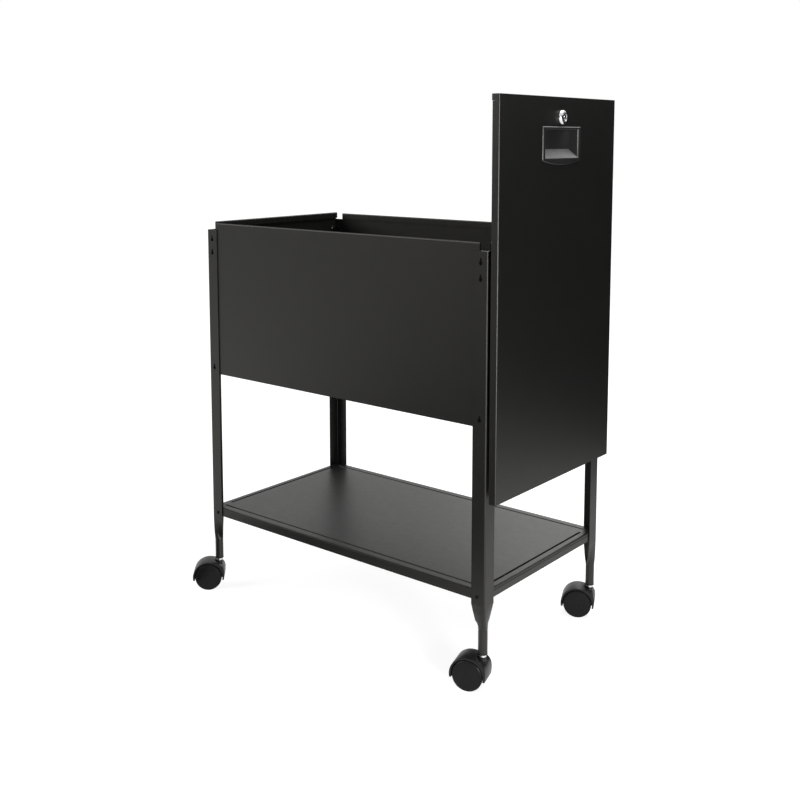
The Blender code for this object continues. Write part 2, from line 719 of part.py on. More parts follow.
def make_pivot(side, sign_y):
    """Bracket outside the lid-end panel, with two rounded ears that carry the guide arm's pin."""
    y = sign_y * GUIDE_Y
    wall = PANEL_X + FIT
    low = PIVOT_Z - BRACKET_FALL
    high = PIVOT_Z + EAR_RADIUS
    gap = NECK_HALF + EAR_GAP
    plate = [(y - BRACKET_HALF, low), (y + BRACKET_HALF, low), (y + BRACKET_HALF, high), (y + gap, high),
             (y + gap, PIVOT_Z - ARM_SLOT_FALL), (y - gap, PIVOT_Z - ARM_SLOT_FALL), (y - gap, high),
             (y - BRACKET_HALF, high)]
    name = "pivot_bracket_" + side
    body = to_mesh(prism(plate, "X", wall, wall + EAR_THICK), name)
    profile = arc((PIVOT_X, PIVOT_Z), EAR_RADIUS, -90, 90, SMALL)
    profile += [(wall + EAR_THICK / 2, high), (wall + EAR_THICK / 2, PIVOT_Z - EAR_RADIUS)]
    ears = []
    for ear in (-1, 1):
        span = sorted((y + ear * gap, y + ear * (gap + EAR_THICK)))
        ears.append(prism(profile, "Y", *span))
    bore = pin_bore(y)
    add_piece(name, cut(joined(body, ears), [bore]), BLACK_STEEL)
    pin = lathe([(0.0, -PIN_HALF), (PIN_RADIUS, -PIN_HALF), (PIN_RADIUS, PIN_HALF), (0.0, PIN_HALF)], COARSE)
    pin = to_mesh(turned(pin, Matrix.Rotation(math.pi / 2, 4, "X")), "pivot_pin_" + side)
    add_piece("pivot_pin_" + side, pin, ZINC, (PIVOT_X, y, PIVOT_Z), smooth=True)


def along_x(bm):
    """Mesh turned so that its +Z points along +X."""
    return turned(bm, Matrix.Rotation(math.pi / 2, 4, "Y"))


def make_lock():
    """Cam lock: housing through the lid, nut behind it, turning plug and cam."""
    centre = (LID_FACE, 0.0, LOCK_Z)
    back = -SHEET - LOCK_BACK
    bore = PLUG_RADIUS + FIT
    edge = LOCK_PROUD / 4
    housing = lathe([(bore, back), (LOCK_BARREL, back), (LOCK_BARREL, FIT), (LOCK_BEZEL, FIT),
                     (LOCK_BEZEL, LOCK_PROUD - edge), (LOCK_BEZEL - edge, LOCK_PROUD), (bore, LOCK_PROUD)],
                    FINE, bored=True)
    add_piece("lock_housing", to_mesh(along_x(housing), "lock_housing"), CHROME, centre, smooth=True)
    nut_front = -SHEET - FIT
    nut_back = nut_front - LOCK_NUT_THICK
    nut_bore = LOCK_BARREL + FIT
    nut = to_mesh(prism(circle(LOCK_NUT_RADIUS, NUT_SIDES), "Z", nut_back, nut_front), "lock_nut")
    hole = prism(circle(nut_bore, FINE), "Z", nut_back - SHEET, nut_front + SHEET)
    nut = cut(nut, [hole])
    nut.transform(Matrix.Rotation(math.pi / 2, 4, "Y"))
    add_piece("lock_nut", nut, ZINC, centre)
    cam_front = back - FIT
    cam_back = cam_front - CAM_THICK
    front = LOCK_PROUD - FIT
    plug = lathe([(0.0, cam_back), (PLUG_STUB, cam_back), (PLUG_STUB, back), (PLUG_RADIUS, back),
                  (PLUG_RADIUS, front), (0.0, front)], FINE)
    slot = box((-KEY_SLOT_HEIGHT / 2, -KEY_SLOT_WIDTH / 2, front - KEY_SLOT_DEPTH),
               (KEY_SLOT_HEIGHT / 2, KEY_SLOT_WIDTH / 2, front + SHEET))
    plug = cut(to_mesh(plug, "lock_plug"), [slot])
    plug.transform(Matrix.Rotation(math.pi / 2, 4, "Y"))
    add_piece("lock_plug", plug, CHROME, centre, smooth=True)
    outline = arc((0.0, 0.0), CAM_HALF, 180, 360, SMALL)
    outline += [(CAM_HALF, CAM_REACH - CAM_HALF), (CAM_HALF / 2, CAM_REACH), (-CAM_HALF / 2, CAM_REACH),
                (-CAM_HALF, CAM_REACH - CAM_HALF)]
    cam = to_mesh(prism(outline, "Z", cam_back, cam_front), "lock_cam")
    hole = prism(circle(PLUG_STUB + FIT, COARSE), "Z", cam_back - SHEET, cam_front + SHEET)
    cam = cut(cam, [hole])
    cam.transform(Matrix.Rotation(math.pi / 2, 4, "Y"))
    add_piece("lock_cam", cam, ZINC, centre)


def hood_outline():
    """Side view of a caster hood about the stem: an arch over the wheels that swells at the stem."""
    axle = (-CASTER_TRAIL, WHEEL_RADIUS)
    points = []
    for k in range(HOOD_STEPS + 1):
        angle = HOOD_FROM + (HOOD_TO - HOOD_FROM) * k / HOOD_STEPS
        swell = HOOD_BULGE * math.exp(-((angle - HOOD_BULGE_AT) / HOOD_BULGE_SPREAD) ** 2)
        radius = HOOD_OUTER + swell
        turn = math.radians(angle)
        points.append((axle[0] + radius * math.cos(turn), axle[1] + radius * math.sin(turn)))
    points += arc(axle, HOOD_SADDLE, 200, 340, 5)
    return points


def hood_mesh():
    """Caster hood: an arch, the web between the wheels, and a boss in a pocket for the stem."""
    body = to_mesh(prism(hood_outline(), "Y", -HOOD_HALF, HOOD_HALF), "hood")
    body = cut(body, [prism(circle(HOOD_POCKET, FINE), "Z", HOOD_SEAT, 2 * HOOD_TOP)])
    boss = prism(circle(HOOD_BOSS, COARSE), "Z", STEM_FOOT, HOOD_TOP)
    axle = (-CASTER_TRAIL, WHEEL_RADIUS)
    tools = []
    for sign in (-1, 1):
        near, far = sorted((sign * WEB_HALF, sign * 2 * HOOD_HALF))
        tools.append(prism(circle(HOOD_INNER, FINE, axle), "Y", near, far))
    tools.append(prism(circle(AXLE_RADIUS + FIT, COARSE, axle), "Y", -HOOD_HALF, HOOD_HALF))
    tools.append(prism(circle(STEM_RADIUS + FIT, COARSE), "Z", STEM_FOOT - FIT, HOOD_TOP + FIT))
    return cut(joined(body, [boss]), tools)


def stem_mesh():
    """Steel stem with a collar between the hood and the foot's socket."""
    low = HOOD_TOP + FIT
    high = low + COLLAR_HEIGHT
    profile = [(0.0, STEM_FOOT), (STEM_RADIUS, STEM_FOOT), (STEM_RADIUS, low), (STEM_COLLAR, low),
               (STEM_COLLAR, high), (STEM_RADIUS, high), (STEM_RADIUS, STEM_TOP), (0.0, STEM_TOP)]
    return to_mesh(lathe(profile, COARSE), "stem")


def socket_mesh():
    """Flanged sleeve in the leg's rolled foot that the stem turns in."""
    bore = STEM_RADIUS + FIT
    low = HOOD_TOP + 2 * FIT + COLLAR_HEIGHT
    seat = LEG_BOTTOM - FIT
    profile = [(bore, low), (SOCKET_FLANGE, low), (SOCKET_FLANGE, seat), (SOCKET_RADIUS, seat),
               (SOCKET_RADIUS, SOCKET_TOP), (bore, SOCKET_TOP)]
    return to_mesh(lathe(profile, COARSE, bored=True), "socket")


def axle_half():
    """Half length of the axle, which ends inside both wheels."""
    return WEB_HALF + WHEEL_GAP + WHEEL_WIDTH - AXLE_BLIND


def axle_mesh():
    """Plain axle along Y."""
    half = axle_half()
    pin = lathe([(0.0, -half), (AXLE_RADIUS, -half), (AXLE_RADIUS, half), (0.0, half)], COARSE)
    return to_mesh(turned(pin, Matrix.Rotation(math.pi / 2, 4, "X")), "axle")


def wheel_mesh(sign):
    """Wheel about Y: a rim and hub open towards the web, closed by a disc on the outer side."""
    inner = WEB_HALF + WHEEL_GAP
    outer = inner + WHEEL_WIDTH
    disc = outer - WHEEL_DISC
    bore = AXLE_RADIUS + FIT
    profile = [(0.0, axle_half() + FIT), (bore, axle_half() + FIT), (bore, inner), (WHEEL_HUB, inner),
               (WHEEL_HUB, disc), (WHEEL_RADIUS - WHEEL_RIM, disc), (WHEEL_RADIUS - WHEEL_RIM, inner),
               (WHEEL_RADIUS, inner), (WHEEL_RADIUS, outer - WHEEL_EDGE),
               (WHEEL_RADIUS - WHEEL_EDGE, outer), (0.0, outer)]
    wheel = lathe(profile, FINE)
    return to_mesh(turned(wheel, Matrix.Rotation(-sign * math.pi / 2, 4, "X")), "wheel")


def make_casters():
    """Four casters, each swivelled to its own angle and with its own wheels."""
    hood = hood_mesh()
    stem = stem_mesh()
    socket = socket_mesh()
    axle = axle_mesh()
    wheels = {"near": wheel_mesh(-1), "far": wheel_mesh(1)}
    for corner, sign_x, sign_y in corners():
        yaw = math.radians(CASTER_YAWS[corner])
        foot = Vector((sign_x * (HALF_LENGTH - FOOT_RADIUS), sign_y * (HALF_WIDTH - FOOT_RADIUS), 0.0))
        trail = Vector((-CASTER_TRAIL, 0.0, WHEEL_RADIUS))
        trail.rotate(Matrix.Rotation(yaw, 3, "Z"))
        add_piece("caster_socket_" + corner, socket, BLACK_PLASTIC, foot, smooth=True)
        add_piece("caster_stem_" + corner, stem, ZINC, foot, yaw, smooth=True)
        add_piece("caster_hood_" + corner, hood, BLACK_PLASTIC, foot, yaw, smooth=True)
        add_piece("caster_axle_" + corner, axle, ZINC, foot + trail, yaw, smooth=True)
        for side, wheel in wheels.items():
            add_piece("wheel_" + corner + "_" + side, wheel, BLACK_PLASTIC, foot + trail, yaw, smooth=True)


def corners():
    """Name and signs of each corner of the frame."""
    return (("front_latch", -1, -1), ("front_lid", 1, -1), ("back_latch", -1, 1), ("back_lid", 1, 1))


def centre_on_base():
    """Move every piece so that the whole box stands on the origin, centred in X and Y."""
    bpy.context.view_layer.update()
    points = []
    for piece in bpy.data.objects:
        points += [piece.matrix_world @ vertex.co for vertex in piece.data.vertices]
    low = Vector([min(point[axis] for point in points) for axis in range(3)])
    high = Vector([max(point[axis] for point in points) for axis in range(3)])
    shift = Vector(((low.x + high.x) / 2, (low.y + high.y) / 2, low.z))
    for piece in bpy.data.objects:
        piece.location -= shift


def main():
    """Build the whole cart."""
    clear_scene()
    for corner, sign_x, sign_y in corners():
        make_leg("leg_" + corner, sign_x, sign_y)
    make_side_panel("panel_front", -1)
    make_side_panel("panel_back", 1)
    make_end_panels()
    make_floor()
    make_rail("folder_rail_front", -1)
    make_rail("folder_rail_back", 1)
    make_shelf()
    make_lid()
    make_lip()
    make_handle()
    make_lock()
    for side, sign_y in (("front", -1), ("back", 1)):
        make_channel("lid_channel_" + side, sign_y)
        make_guide_arm("guide_arm_" + side, sign_y)
        make_pivot(side, sign_y)
    make_casters()
    centre_on_base()


main()
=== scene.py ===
"""Looks of the mobile tub-file cart: finer lock, handle, casters and fasteners, finishes and a studio."""
import json
import math

import bmesh
import bpy
from bpy.props import FloatProperty, FloatVectorProperty, IntProperty, PointerProperty
from bpy.types import Operator, Panel, PropertyGroup
from mathutils import Matrix, Vector


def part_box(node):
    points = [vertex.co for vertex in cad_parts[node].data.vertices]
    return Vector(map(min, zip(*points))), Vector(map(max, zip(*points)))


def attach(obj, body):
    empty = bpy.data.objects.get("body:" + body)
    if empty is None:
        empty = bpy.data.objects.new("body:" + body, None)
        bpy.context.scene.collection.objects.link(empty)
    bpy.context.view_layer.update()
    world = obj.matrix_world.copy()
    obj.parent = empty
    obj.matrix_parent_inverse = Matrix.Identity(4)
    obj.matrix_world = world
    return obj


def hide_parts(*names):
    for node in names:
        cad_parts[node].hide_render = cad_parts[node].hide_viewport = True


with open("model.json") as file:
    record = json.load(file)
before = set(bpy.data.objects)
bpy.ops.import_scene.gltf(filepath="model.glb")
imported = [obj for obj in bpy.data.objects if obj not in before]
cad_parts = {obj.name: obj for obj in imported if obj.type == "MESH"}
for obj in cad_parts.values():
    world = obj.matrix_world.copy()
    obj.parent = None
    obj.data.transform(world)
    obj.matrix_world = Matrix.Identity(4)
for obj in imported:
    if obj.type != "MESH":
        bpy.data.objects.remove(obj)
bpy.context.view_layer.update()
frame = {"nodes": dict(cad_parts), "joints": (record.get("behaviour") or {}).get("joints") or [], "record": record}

bl_info = {
    "name": "Tub-file cart",
    "version": (1, 0, 0),
    "blender": (4, 5, 0),
    "location": "View3D > Sidebar > Cart",
    "description": "Dresses the packed tub-file cart and lights it",
    "category": "Object",
}

JOINTS = {joint["name"]: joint for joint in frame["joints"]}
# Each leg's name, and the signs of its place along X and Y.
CORNERS = (("front_latch", -1, -1), ("front_lid", 1, -1), ("back_latch", -1, 1), ("back_lid", 1, 1))
SHELF_LOW, SHELF_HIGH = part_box("shelf")
MIDDLE = (SHELF_LOW + SHELF_HIGH) / 2
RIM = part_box("panel_front")[1].z
LID_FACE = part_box("lid")[1].x

# Lengths closer than this count as equal, in metres.
TOUCH = 1e-5
# Directions closer than this count as equal, in radians.
ALIGNED = 1e-3

# Points round the lock, the stems and bosses, the drilled holes, and the studs and screw ends.
LOCK_STEPS = 64
STEM_STEPS = 48
HOLE_STEPS = 32
STUD_STEPS = 24

# Cuts along the handle's bowed edge, and steps round each corner of its flange.
BOW_CUTS = 15
CORNER_SEGMENTS = 4

# Profiles of round bodies: shares of the radius and of the height.
BEZEL_PROFILE = ((1.0, 0.0), (1.0, 0.25), (0.965, 0.45), (0.88, 0.68), (0.76, 0.88), (0.66, 1.0), (0.58, 1.0))
WHEEL_PROFILE = ((0.30, 0.0), (0.30, 0.14), (0.84, 0.14), (0.86, 0.0), (0.95, 0.0), (1.0, 0.10), (1.0, 0.86),
                 (0.985, 0.95), (0.955, 0.995), (0.925, 1.0), (0.905, 0.965), (0.885, 0.975), (0.50, 1.0),
                 (0.12, 1.0))
SCREW_PROFILE = ((1.0, 0.0), (1.0, 0.45), (0.93, 0.72), (0.75, 0.92), (0.45, 1.0))
# Shares of the radius at the chamfer, the land and the floor of the plug's dish and of the stud's dimple.
PLUG_SHARES = (0.94, 0.75, 0.70)
STUD_SHARES = (0.94, 0.40, 0.20)

# Part of a noise texture's range that most of its values fill.
NOISE_LOW = 0.3
NOISE_HIGH = 0.7

# Dark cards: name, place beside the cart's middle, turn in degrees, size, and the setting for their colour.
CARDS = (
    ("side", (0.84, 0.84, 0.60), (90.0, 0.0, -33.0), (2.4, 1.20), "side_card"),
    ("front", (-0.55, -1.60, 0.004), (0.0, 0.0, -120.0), (2.6, 1.1), "card"),
    ("room", (-1.5, -4.2, 1.30), (90.0, 0.0, -20.0), (8.0, 2.60), "card"),
    ("right", (3.4, -1.8, 1.00), (90.0, 0.0, -118.0), (5.0, 2.00), "card"),
)
# Soft boxes: name, place beside the cart's middle, target, width, height and energy in watts.
LAMPS = (
    ("key", (-2.6, -3.2, 2.4), (0.0, 0.0, 0.45), 2.4, 2.4, 95.0),
    ("top", (0.9, 0.5, 3.0), (0.1, 0.0, 0.5), 1.8, 1.8, 60.0),
    ("back", (-0.8, 2.4, 1.1), (0.2, 0.0, 0.2), 1.2, 1.2, 3.0),
    ("rear", (-0.32, 2.5, 2.30), (0.33, 0.0, 0.82), 1.3, 1.3, 24.0),
    ("edge", (2.3, -1.35, 0.55), (0.33, -0.17, 0.60), 0.5, 1.1, 65.0),
)
FLOOR_SIZE = 40.0
FLOOR_ROUGHNESS = 0.9
SENSOR_WIDTH = 36.0
WHITE = (1.0, 1.0, 1.0, 1.0)


def length(label, note, default):
    """A property for one size in metres."""
    return FloatProperty(name=label, description=note, default=default, unit="LENGTH", precision=5)


def colour(label, note, default):
    """A property for one linear colour."""
    return FloatVectorProperty(name=label, description=note, default=default, subtype="COLOR",
                               min=0.0, max=1.0)


def share(label, note, default):
    """A property for one value from 0 to 1."""
    return FloatProperty(name=label, description=note, default=default, subtype="FACTOR", min=0.0, max=1.0)


def plain(label, note, default):
    """A property for one value without a unit, or with the unit that its note gives."""
    return FloatProperty(name=label, description=note, default=default)


class CartFinishes(PropertyGroup):
    """Colours, gloss and roughness of the cart's finishes."""

    steel: colour("Steel paint", "Black powder coat on the sheet steel", (0.0042, 0.0042, 0.0041))
    steel_sheen: colour("Paint sheen", "Tint of the powder coat's reflections", (1.0, 0.97, 0.93))
    steel_gloss: share("Paint gloss", "Specular level of the powder coat", 0.38)
    steel_roughness: share("Paint roughness", "Middle roughness of the powder coat", 0.40)
    oxide: colour("Black oxide", "Studs, nuts and shelf screws", (0.0050, 0.0050, 0.0050))
    oxide_gloss: share("Oxide gloss", "Specular level of the black oxide", 0.10)
    plastic: colour("Black plastic", "Caster hoods and sockets", (0.0110, 0.0110, 0.0112))
    plastic_gloss: share("Plastic gloss", "Specular level of the moulded plastic", 0.18)
    plastic_roughness: share("Plastic roughness", "Middle roughness of the moulded plastic", 0.36)
    pull: colour("Handle plastic", "Recessed handle", (0.0070, 0.0070, 0.0070))
    # Paler colour on the handle's upward faces: painted light from above.
    pull_painted_light: colour("Painted top light", "Handle faces that face up, made paler as painted light from above", (0.1200, 0.1200, 0.1180))
    pull_gloss: share("Handle gloss", "Specular level of the handle", 0.50)
    pull_roughness: share("Handle roughness", "Middle roughness of the handle", 0.42)
    wheel: colour("Wheel plastic", "Caster wheels", (0.0080, 0.0080, 0.0082))
    wheel_gloss: share("Wheel gloss", "Specular level of the wheels", 0.12)
    wheel_roughness: share("Wheel roughness", "Middle roughness of the wheels", 0.28)
    chrome: colour("Chrome", "Lock housing and plug", (0.62, 0.62, 0.63))
    zinc: colour("Zinc plate", "Stems, axles, pins, and the lock's nut and cam", (0.66, 0.66, 0.65))
    nylon: colour("Nylon", "Guide arms", (0.70, 0.69, 0.64))


class CartHandle(PropertyGroup):
    """Sizes of the recessed handle."""

    proud: length("Stand-out", "How far the flange stands out of the lid", 0.0022)
    seat: length("Seat gap", "Gap between the flange and the lid", 0.0003)
    height: length("Height", "Height of the flange at its sides", 0.0540)
    sag: length("Sag", "How far the flange's lower edge bows down", 0.0068)
    corner: length("Corner", "Radius of the flange's corners", 0.0016)
    border: length("Side border", "Width of the flange beside the opening", 0.0085)
    border_top: length("Top border", "Height of the flange above the opening", 0.0050)
    border_low: length("Low border", "Height of the flange below the opening", 0.0057)
    depth: length("Depth", "Depth of the cup behind the lid's face", 0.0160)
    floor_rise: length("Floor rise", "How much higher the floor is at the back", 0.0125)
    wall: length("Wall", "Thickness of the cup", 0.0015)
    chamfer: length("Chamfer", "Slanted edge round the flange", 0.0013)
    mouth: length("Mouth", "Slanted edge round the opening", 0.0019)
    edge: length("Edge", "Rounding of the remaining edges", 0.0003)


class CartLock(PropertyGroup):
    """Sizes of the cam lock."""

    bezel: length("Bezel", "Radius of the chrome bezel", 0.0118)
    seat: length("Seat gap", "Gap between the bezel and the lid", 0.0003)
    proud: length("Stand-out", "How far the bezel stands out of the lid", 0.0060)
    barrel: length("Barrel", "Radius of the barrel through the lid", 0.0090)
    back: length("Barrel length", "How far the barrel reaches behind the lid's face", 0.0140)
    edge: length("Edge", "Rounding of the housing's edges", 0.0004)
    plug: length("Plug", "Radius of the turning plug", 0.0060)
    plug_gap: length("Plug gap", "Gap round the plug", 0.0003)
    plug_sink: length("Plug sink", "Depth of the plug's face behind the bezel's face", 0.0006)
    plug_chamfer: length("Plug chamfer", "Depth of the slant round the plug's face", 0.0004)
    plug_dish: length("Plug dish", "Depth of the dish in the plug's face", 0.0003)
    plug_edge: length("Plug edge", "Rounding of the plug's edges", 0.0002)
    stub: length("Stub", "How far the plug reaches behind the barrel", 0.0030)
    slot_width: length("Key slot width", "Width of the key slot", 0.0016)
    slot_height: length("Key slot height", "Height of the key slot", 0.0075)
    slot_depth: length("Key slot depth", "Depth of the key slot", 0.0040)


class CartGussets(PropertyGroup):
    """Sizes of the gussets in the lid's upper corners."""

    inset: length("Inset", "Distance behind the lip's outer faces", 0.0012)
    sheet: length("Sheet", "Thickness of a gusset", 0.0008)


class CartCasters(PropertyGroup):
    """Sizes of the twin-wheel casters."""

    wheel_radius: length("Wheel radius", "Radius of a wheel over its tread", 0.02516)
    wheel_width: length("Wheel width", "Width of one wheel", 0.0138)
    web_half: length("Web", "Half the thickness of the web between the wheels", 0.0036)
    wheel_gap: length("Wheel gap", "Gap between the web and a wheel", 0.0005)
    trail: length("Trail", "How far the axle lies behind the stem", 0.0206)
    hood_inner: length("Hood inside", "Inner radius of the hood", 0.0267)
    hood_outer: length("Hood outside", "Outer radius of the hood", 0.02966)
    hood_half: length("Hood half width", "Half the width of the hood", 0.01759)
    hood_low: length("Hood foot", "Height of the hood's lower edge", 0.0194)
    hood_edge: length("Hood edge", "Rounding of the hood's edges", 0.0007)
    bulge: length("Bulge", "Swelling of the hood round the stem", 0.0040)
    bulge_at: plain("Bulge place", "Angle of the swelling's middle in degrees", 36.0)
    bulge_spread: plain("Bulge spread", "Angle that the swelling spreads over in degrees", 24.0)
    seat: length("Stem seat", "Height of the pocket's floor round the stem", 0.0470)
    pocket: length("Stem pocket", "Radius of the pocket round the stem", 0.0095)
    boss: length("Stem boss", "Radius of the boss that holds the stem", 0.0058)
    boss_top: length("Boss top", "Height of the boss's top", 0.0540)
    stem: length("Stem", "Radius of the stem", 0.0035)
    stem_gap: length("Stem gap", "Gap round and below the stem", 0.0003)
    stem_edge: length("Stem edge", "Slant at the edges of the stem and its collar", 0.0006)
    stem_foot: length("Stem foot", "Height of the stem's lower end", 0.0420)
    stem_top: length("Stem top", "Height of the stem's upper end", 0.0940)
    collar: length("Collar", "Radius of the stem's collar", 0.0060)
    collar_low: length("Collar foot", "Height of the collar's lower face", 0.0543)
    collar_high: length("Collar top", "Height of the collar's upper face", 0.0586)
    axle: length("Axle hole", "Radius of the hole for the axle", 0.0033)
    vertices: IntProperty(name="Round steps", description="Number of points round a wheel or a hood",
                          default=72, min=24)


class CartFasteners(PropertyGroup):
    """Sizes and places of the studs, nuts and screws."""

    inset: length("Stud inset", "Distance of the studs from the frame's corner edges", 0.0127)
    drop_high: length("High stud", "Drop of the upper stud below the rim", 0.0310)
    drop_middle: length("Second stud", "Drop of the second stud below the rim", 0.0560)
    drop_low: length("Low stud", "Drop of the lowest stud below the rim", 0.2740)
    leg_sheet: length("Leg sheet", "Thickness of a leg with the gap behind it", 0.0018)
    stud: length("Stud", "Radius of a stud's base in its panel", 0.0039)
    stud_sink: length("Stud sink", "Depth of a stud's face behind the panel's face", 0.0008)
    stud_thick: length("Stud thickness", "Thickness of a stud", 0.0006)
    stud_chamfer: length("Stud chamfer", "Depth of the slant round a stud's face", 0.0002)
    stud_dimple: length("Stud dimple", "Depth of the dimple in a stud's face", 0.0003)
    nut: length("Nut", "Radius of a nut over its corners", 0.0044)
    nut_thick: length("Nut thickness", "Thickness of a nut", 0.0026)
    nut_gap: length("Nut gap", "Gap between a nut and its wall", 0.0002)
    nut_edge: length("Nut edge", "Rounding of a nut's edges", 0.0003)
    end: length("Screw end", "Radius of the screw end in a nut", 0.0022)
    end_tip: length("Screw tip", "Radius of the screw end's tip", 0.00132)
    end_step: length("Screw end step", "Height of the screw end's straight part and of its slant", 0.0006)
    long_wall: length("Wall at long side", "Panel and end flange together", 0.0023)
    end_wall: length("Wall at end", "End panel alone", 0.0010)
    screw: length("Screw head", "Radius of a shelf screw's head", 0.0030)
    screw_proud: length("Screw height", "Height of a shelf screw's head", 0.0012)
    screw_gap: length("Screw gap", "Gap between a shelf screw's head and its leg", 0.0001)
    screw_z: length("Screw place", "Height of the shelf screws", 0.1520)
    screw_inset: length("Screw inset", "Distance of the shelf screws from the frame's corner edges", 0.0145)
    cross_arm: length("Cross arm", "Half the length of a cross recess", 0.0018)
    cross_half: length("Cross half width", "Half the width of a cross recess", 0.00036)
    cross_floor: length("Cross floor", "Height of a cross recess's floor above the head's foot", 0.00042)


class CartStage(PropertyGroup):
    """Camera and light of the studio."""

    eye_x: length("Camera X", "Camera place beside the cart's middle", 1.2128)
    eye_y: length("Camera Y", "Camera place in front of the cart's middle", -1.4871)
    eye_z: length("Camera Z", "Camera height", 0.8611)
    azimuth: plain("Camera turn", "Turn of the camera about the vertical in degrees", 39.132)
    pitch: plain("Camera tilt", "Tilt of the camera below the horizon in degrees", 6.518)
    lens: plain("Lens", "Focal length in millimetres", 47.792)
    shift: plain("Shift", "Upward shift of the lens, as a share of the picture's width", -0.1725)
    ambient: share("Ambient", "Strength of the even light round the cart", 0.20)
    card: colour("Card", "Colour of the dark cards that the paint mirrors", (0.10, 0.10, 0.10))
    side_card: colour("Side card", "Colour of the darker card that the lid mirrors", (0.02, 0.02, 0.02))
    floor: colour("Floor", "Colour of the studio floor", (0.40, 0.40, 0.40))
    floor_lift: share("Floor lift", "White added to the floor near the cart as the camera sees it", 0.84)
    floor_near: length("Near floor", "Distance within which the floor keeps the cart's shadow", 1.0)
    floor_far: length("Far floor", "Distance from which the floor is as white as the background", 3.0)


def only(piece):
    """Make one object the selected and active one."""
    bpy.ops.object.select_all(action="DESELECT")
    piece.select_set(True)
    bpy.context.view_layer.objects.active = piece


def remove(piece):
    """Delete one object."""
    only(piece)
    bpy.ops.object.delete()


def start(name, primitive, **options):
    """Add a primitive as the start of a piece."""
    bpy.ops.object.select_all(action="DESELECT")
    primitive(**options)
    piece = bpy.context.active_object
    piece.name = name
    piece.data.name = name
    return piece


def settle(piece):
    """Put the object's place and turn into its mesh."""
    only(piece)
    bpy.ops.object.transform_apply(location=True, rotation=True, scale=True)


def set_place(piece, matrix):
    """Move a piece by a matrix and put the move into its mesh."""
    piece.matrix_world = matrix
    settle(piece)


def facing(place, direction):
    """Matrix that takes the Z axis to a direction and the origin to a place."""
    turn = Vector((0.0, 0.0, 1.0)).rotation_difference(Vector(direction))
    return Matrix.Translation(Vector(place)) @ turn.to_matrix().to_4x4()


def pick(piece, kind, test):
    """Select the vertices, edges or faces of a piece in edit mode that pass a test."""
    bpy.ops.mesh.select_mode(type={"verts": "VERT", "edges": "EDGE", "faces": "FACE"}[kind])
    bpy.ops.mesh.select_all(action="DESELECT")
    mesh = bmesh.from_edit_mesh(piece.data)
    for part in getattr(mesh, kind):
        if test(part):
            part.select_set(True)
    mesh.select_flush_mode()
    bmesh.update_edit_mesh(piece.data)


def extrude(rise):
    """Extrude the selection along Z."""
    bpy.ops.mesh.extrude_region_move(TRANSFORM_OT_translate={"value": (0.0, 0.0, rise)})


def face_outward():
    """Turn all faces of the mesh in edit mode outward, and leave edit mode."""
    bpy.ops.mesh.select_all(action="SELECT")
    bpy.ops.mesh.normals_make_consistent(inside=False)
    bpy.ops.object.mode_set(mode="OBJECT")


def block(name, low, high):
    """Box between two corners, as a start or a cutting tool."""
    low = Vector(low)
    high = Vector(high)
    piece = start(name, bpy.ops.mesh.primitive_cube_add, size=1.0)
    piece.scale = high - low
    piece.location = (low + high) / 2
    settle(piece)
    return piece


def turned(name, steps, vertices):
    """Round body about Z through (radius, height) steps, each extruded from the last."""
    radius, height = steps[0]
    piece = start(name, bpy.ops.mesh.primitive_circle_add, vertices=vertices, radius=radius, fill_type="NGON")
    piece.location.z = height
    settle(piece)
    bpy.ops.object.mode_set(mode="EDIT")
    bpy.ops.mesh.select_mode(type="FACE")
    bpy.ops.mesh.select_all(action="SELECT")
    for next_radius, next_height in steps[1:]:
        extrude(next_height - height)
        factor = next_radius / radius
        bpy.ops.transform.resize(value=(factor, factor, 1.0), center_override=(0.0, 0.0, next_height))
        radius, height = next_radius, next_height
    face_outward()
    return piece


def scaled(profile, radius, height, foot=0.0):
    """Steps of a round body from a profile of shares."""
    return [(radius * across, foot + height * up) for across, up in profile]


def join_or_cut(piece, tool, operation):
    """Apply a boolean to a piece and delete the tool."""
    only(piece)
    bpy.ops.object.modifier_add(type="BOOLEAN")
    modifier = piece.modifiers[-1]
    modifier.operation = operation
    modifier.solver = "EXACT"
    modifier.object = tool
    bpy.ops.object.modifier_apply(modifier=modifier.name)
    remove(tool)


def drill(piece, radius, low, high, vertices, matrix=None):
    """Cut a round hole between two heights along Z, or along the Z axis of a matrix."""
    tool = turned("drill_tool", [(radius, low), (radius, high)], vertices)
    if matrix is not None:
        set_place(tool, matrix)
    join_or_cut(piece, tool, "DIFFERENCE")


def smooth(piece, angle):
    """Shade a piece smooth across edges that are flatter than an angle in degrees."""
    only(piece)
    bpy.ops.object.shade_smooth_by_angle(angle=math.radians(angle))


def soften(piece, width, segments, angle=35.0):
    """Round the edges of a piece that are sharper than an angle in degrees, and shade it smooth."""
    only(piece)
    bpy.ops.object.modifier_add(type="BEVEL")
    modifier = piece.modifiers[-1]
    modifier.width = width
    modifier.segments = segments
    modifier.limit_method = "ANGLE"
    modifier.angle_limit = math.radians(angle)
    modifier.use_clamp_overlap = True
    bpy.ops.object.modifier_apply(modifier=modifier.name)
    smooth(piece, angle)


def copied(piece, name):
    """A copy of a piece with a mesh of its own."""
    only(piece)
    bpy.ops.object.duplicate(linked=False)
    twin = bpy.context.active_object
    twin.name = name
    twin.data.name = name
    return twin


def spread(piece, names, matrices):
    """Place copies of a model piece, and delete the model."""
    made = []
    for name, matrix in zip(names, matrices):
        twin = copied(piece, name)
        set_place(twin, matrix)
        made.append(twin)
    remove(piece)
    return made


def leg_edges(corner, sign_x, sign_y):
    """X and Y of the outer edge of one leg."""
    low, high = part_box("leg_" + corner)
    return (high.x if sign_x > 0 else low.x), (high.y if sign_y > 0 else low.y)


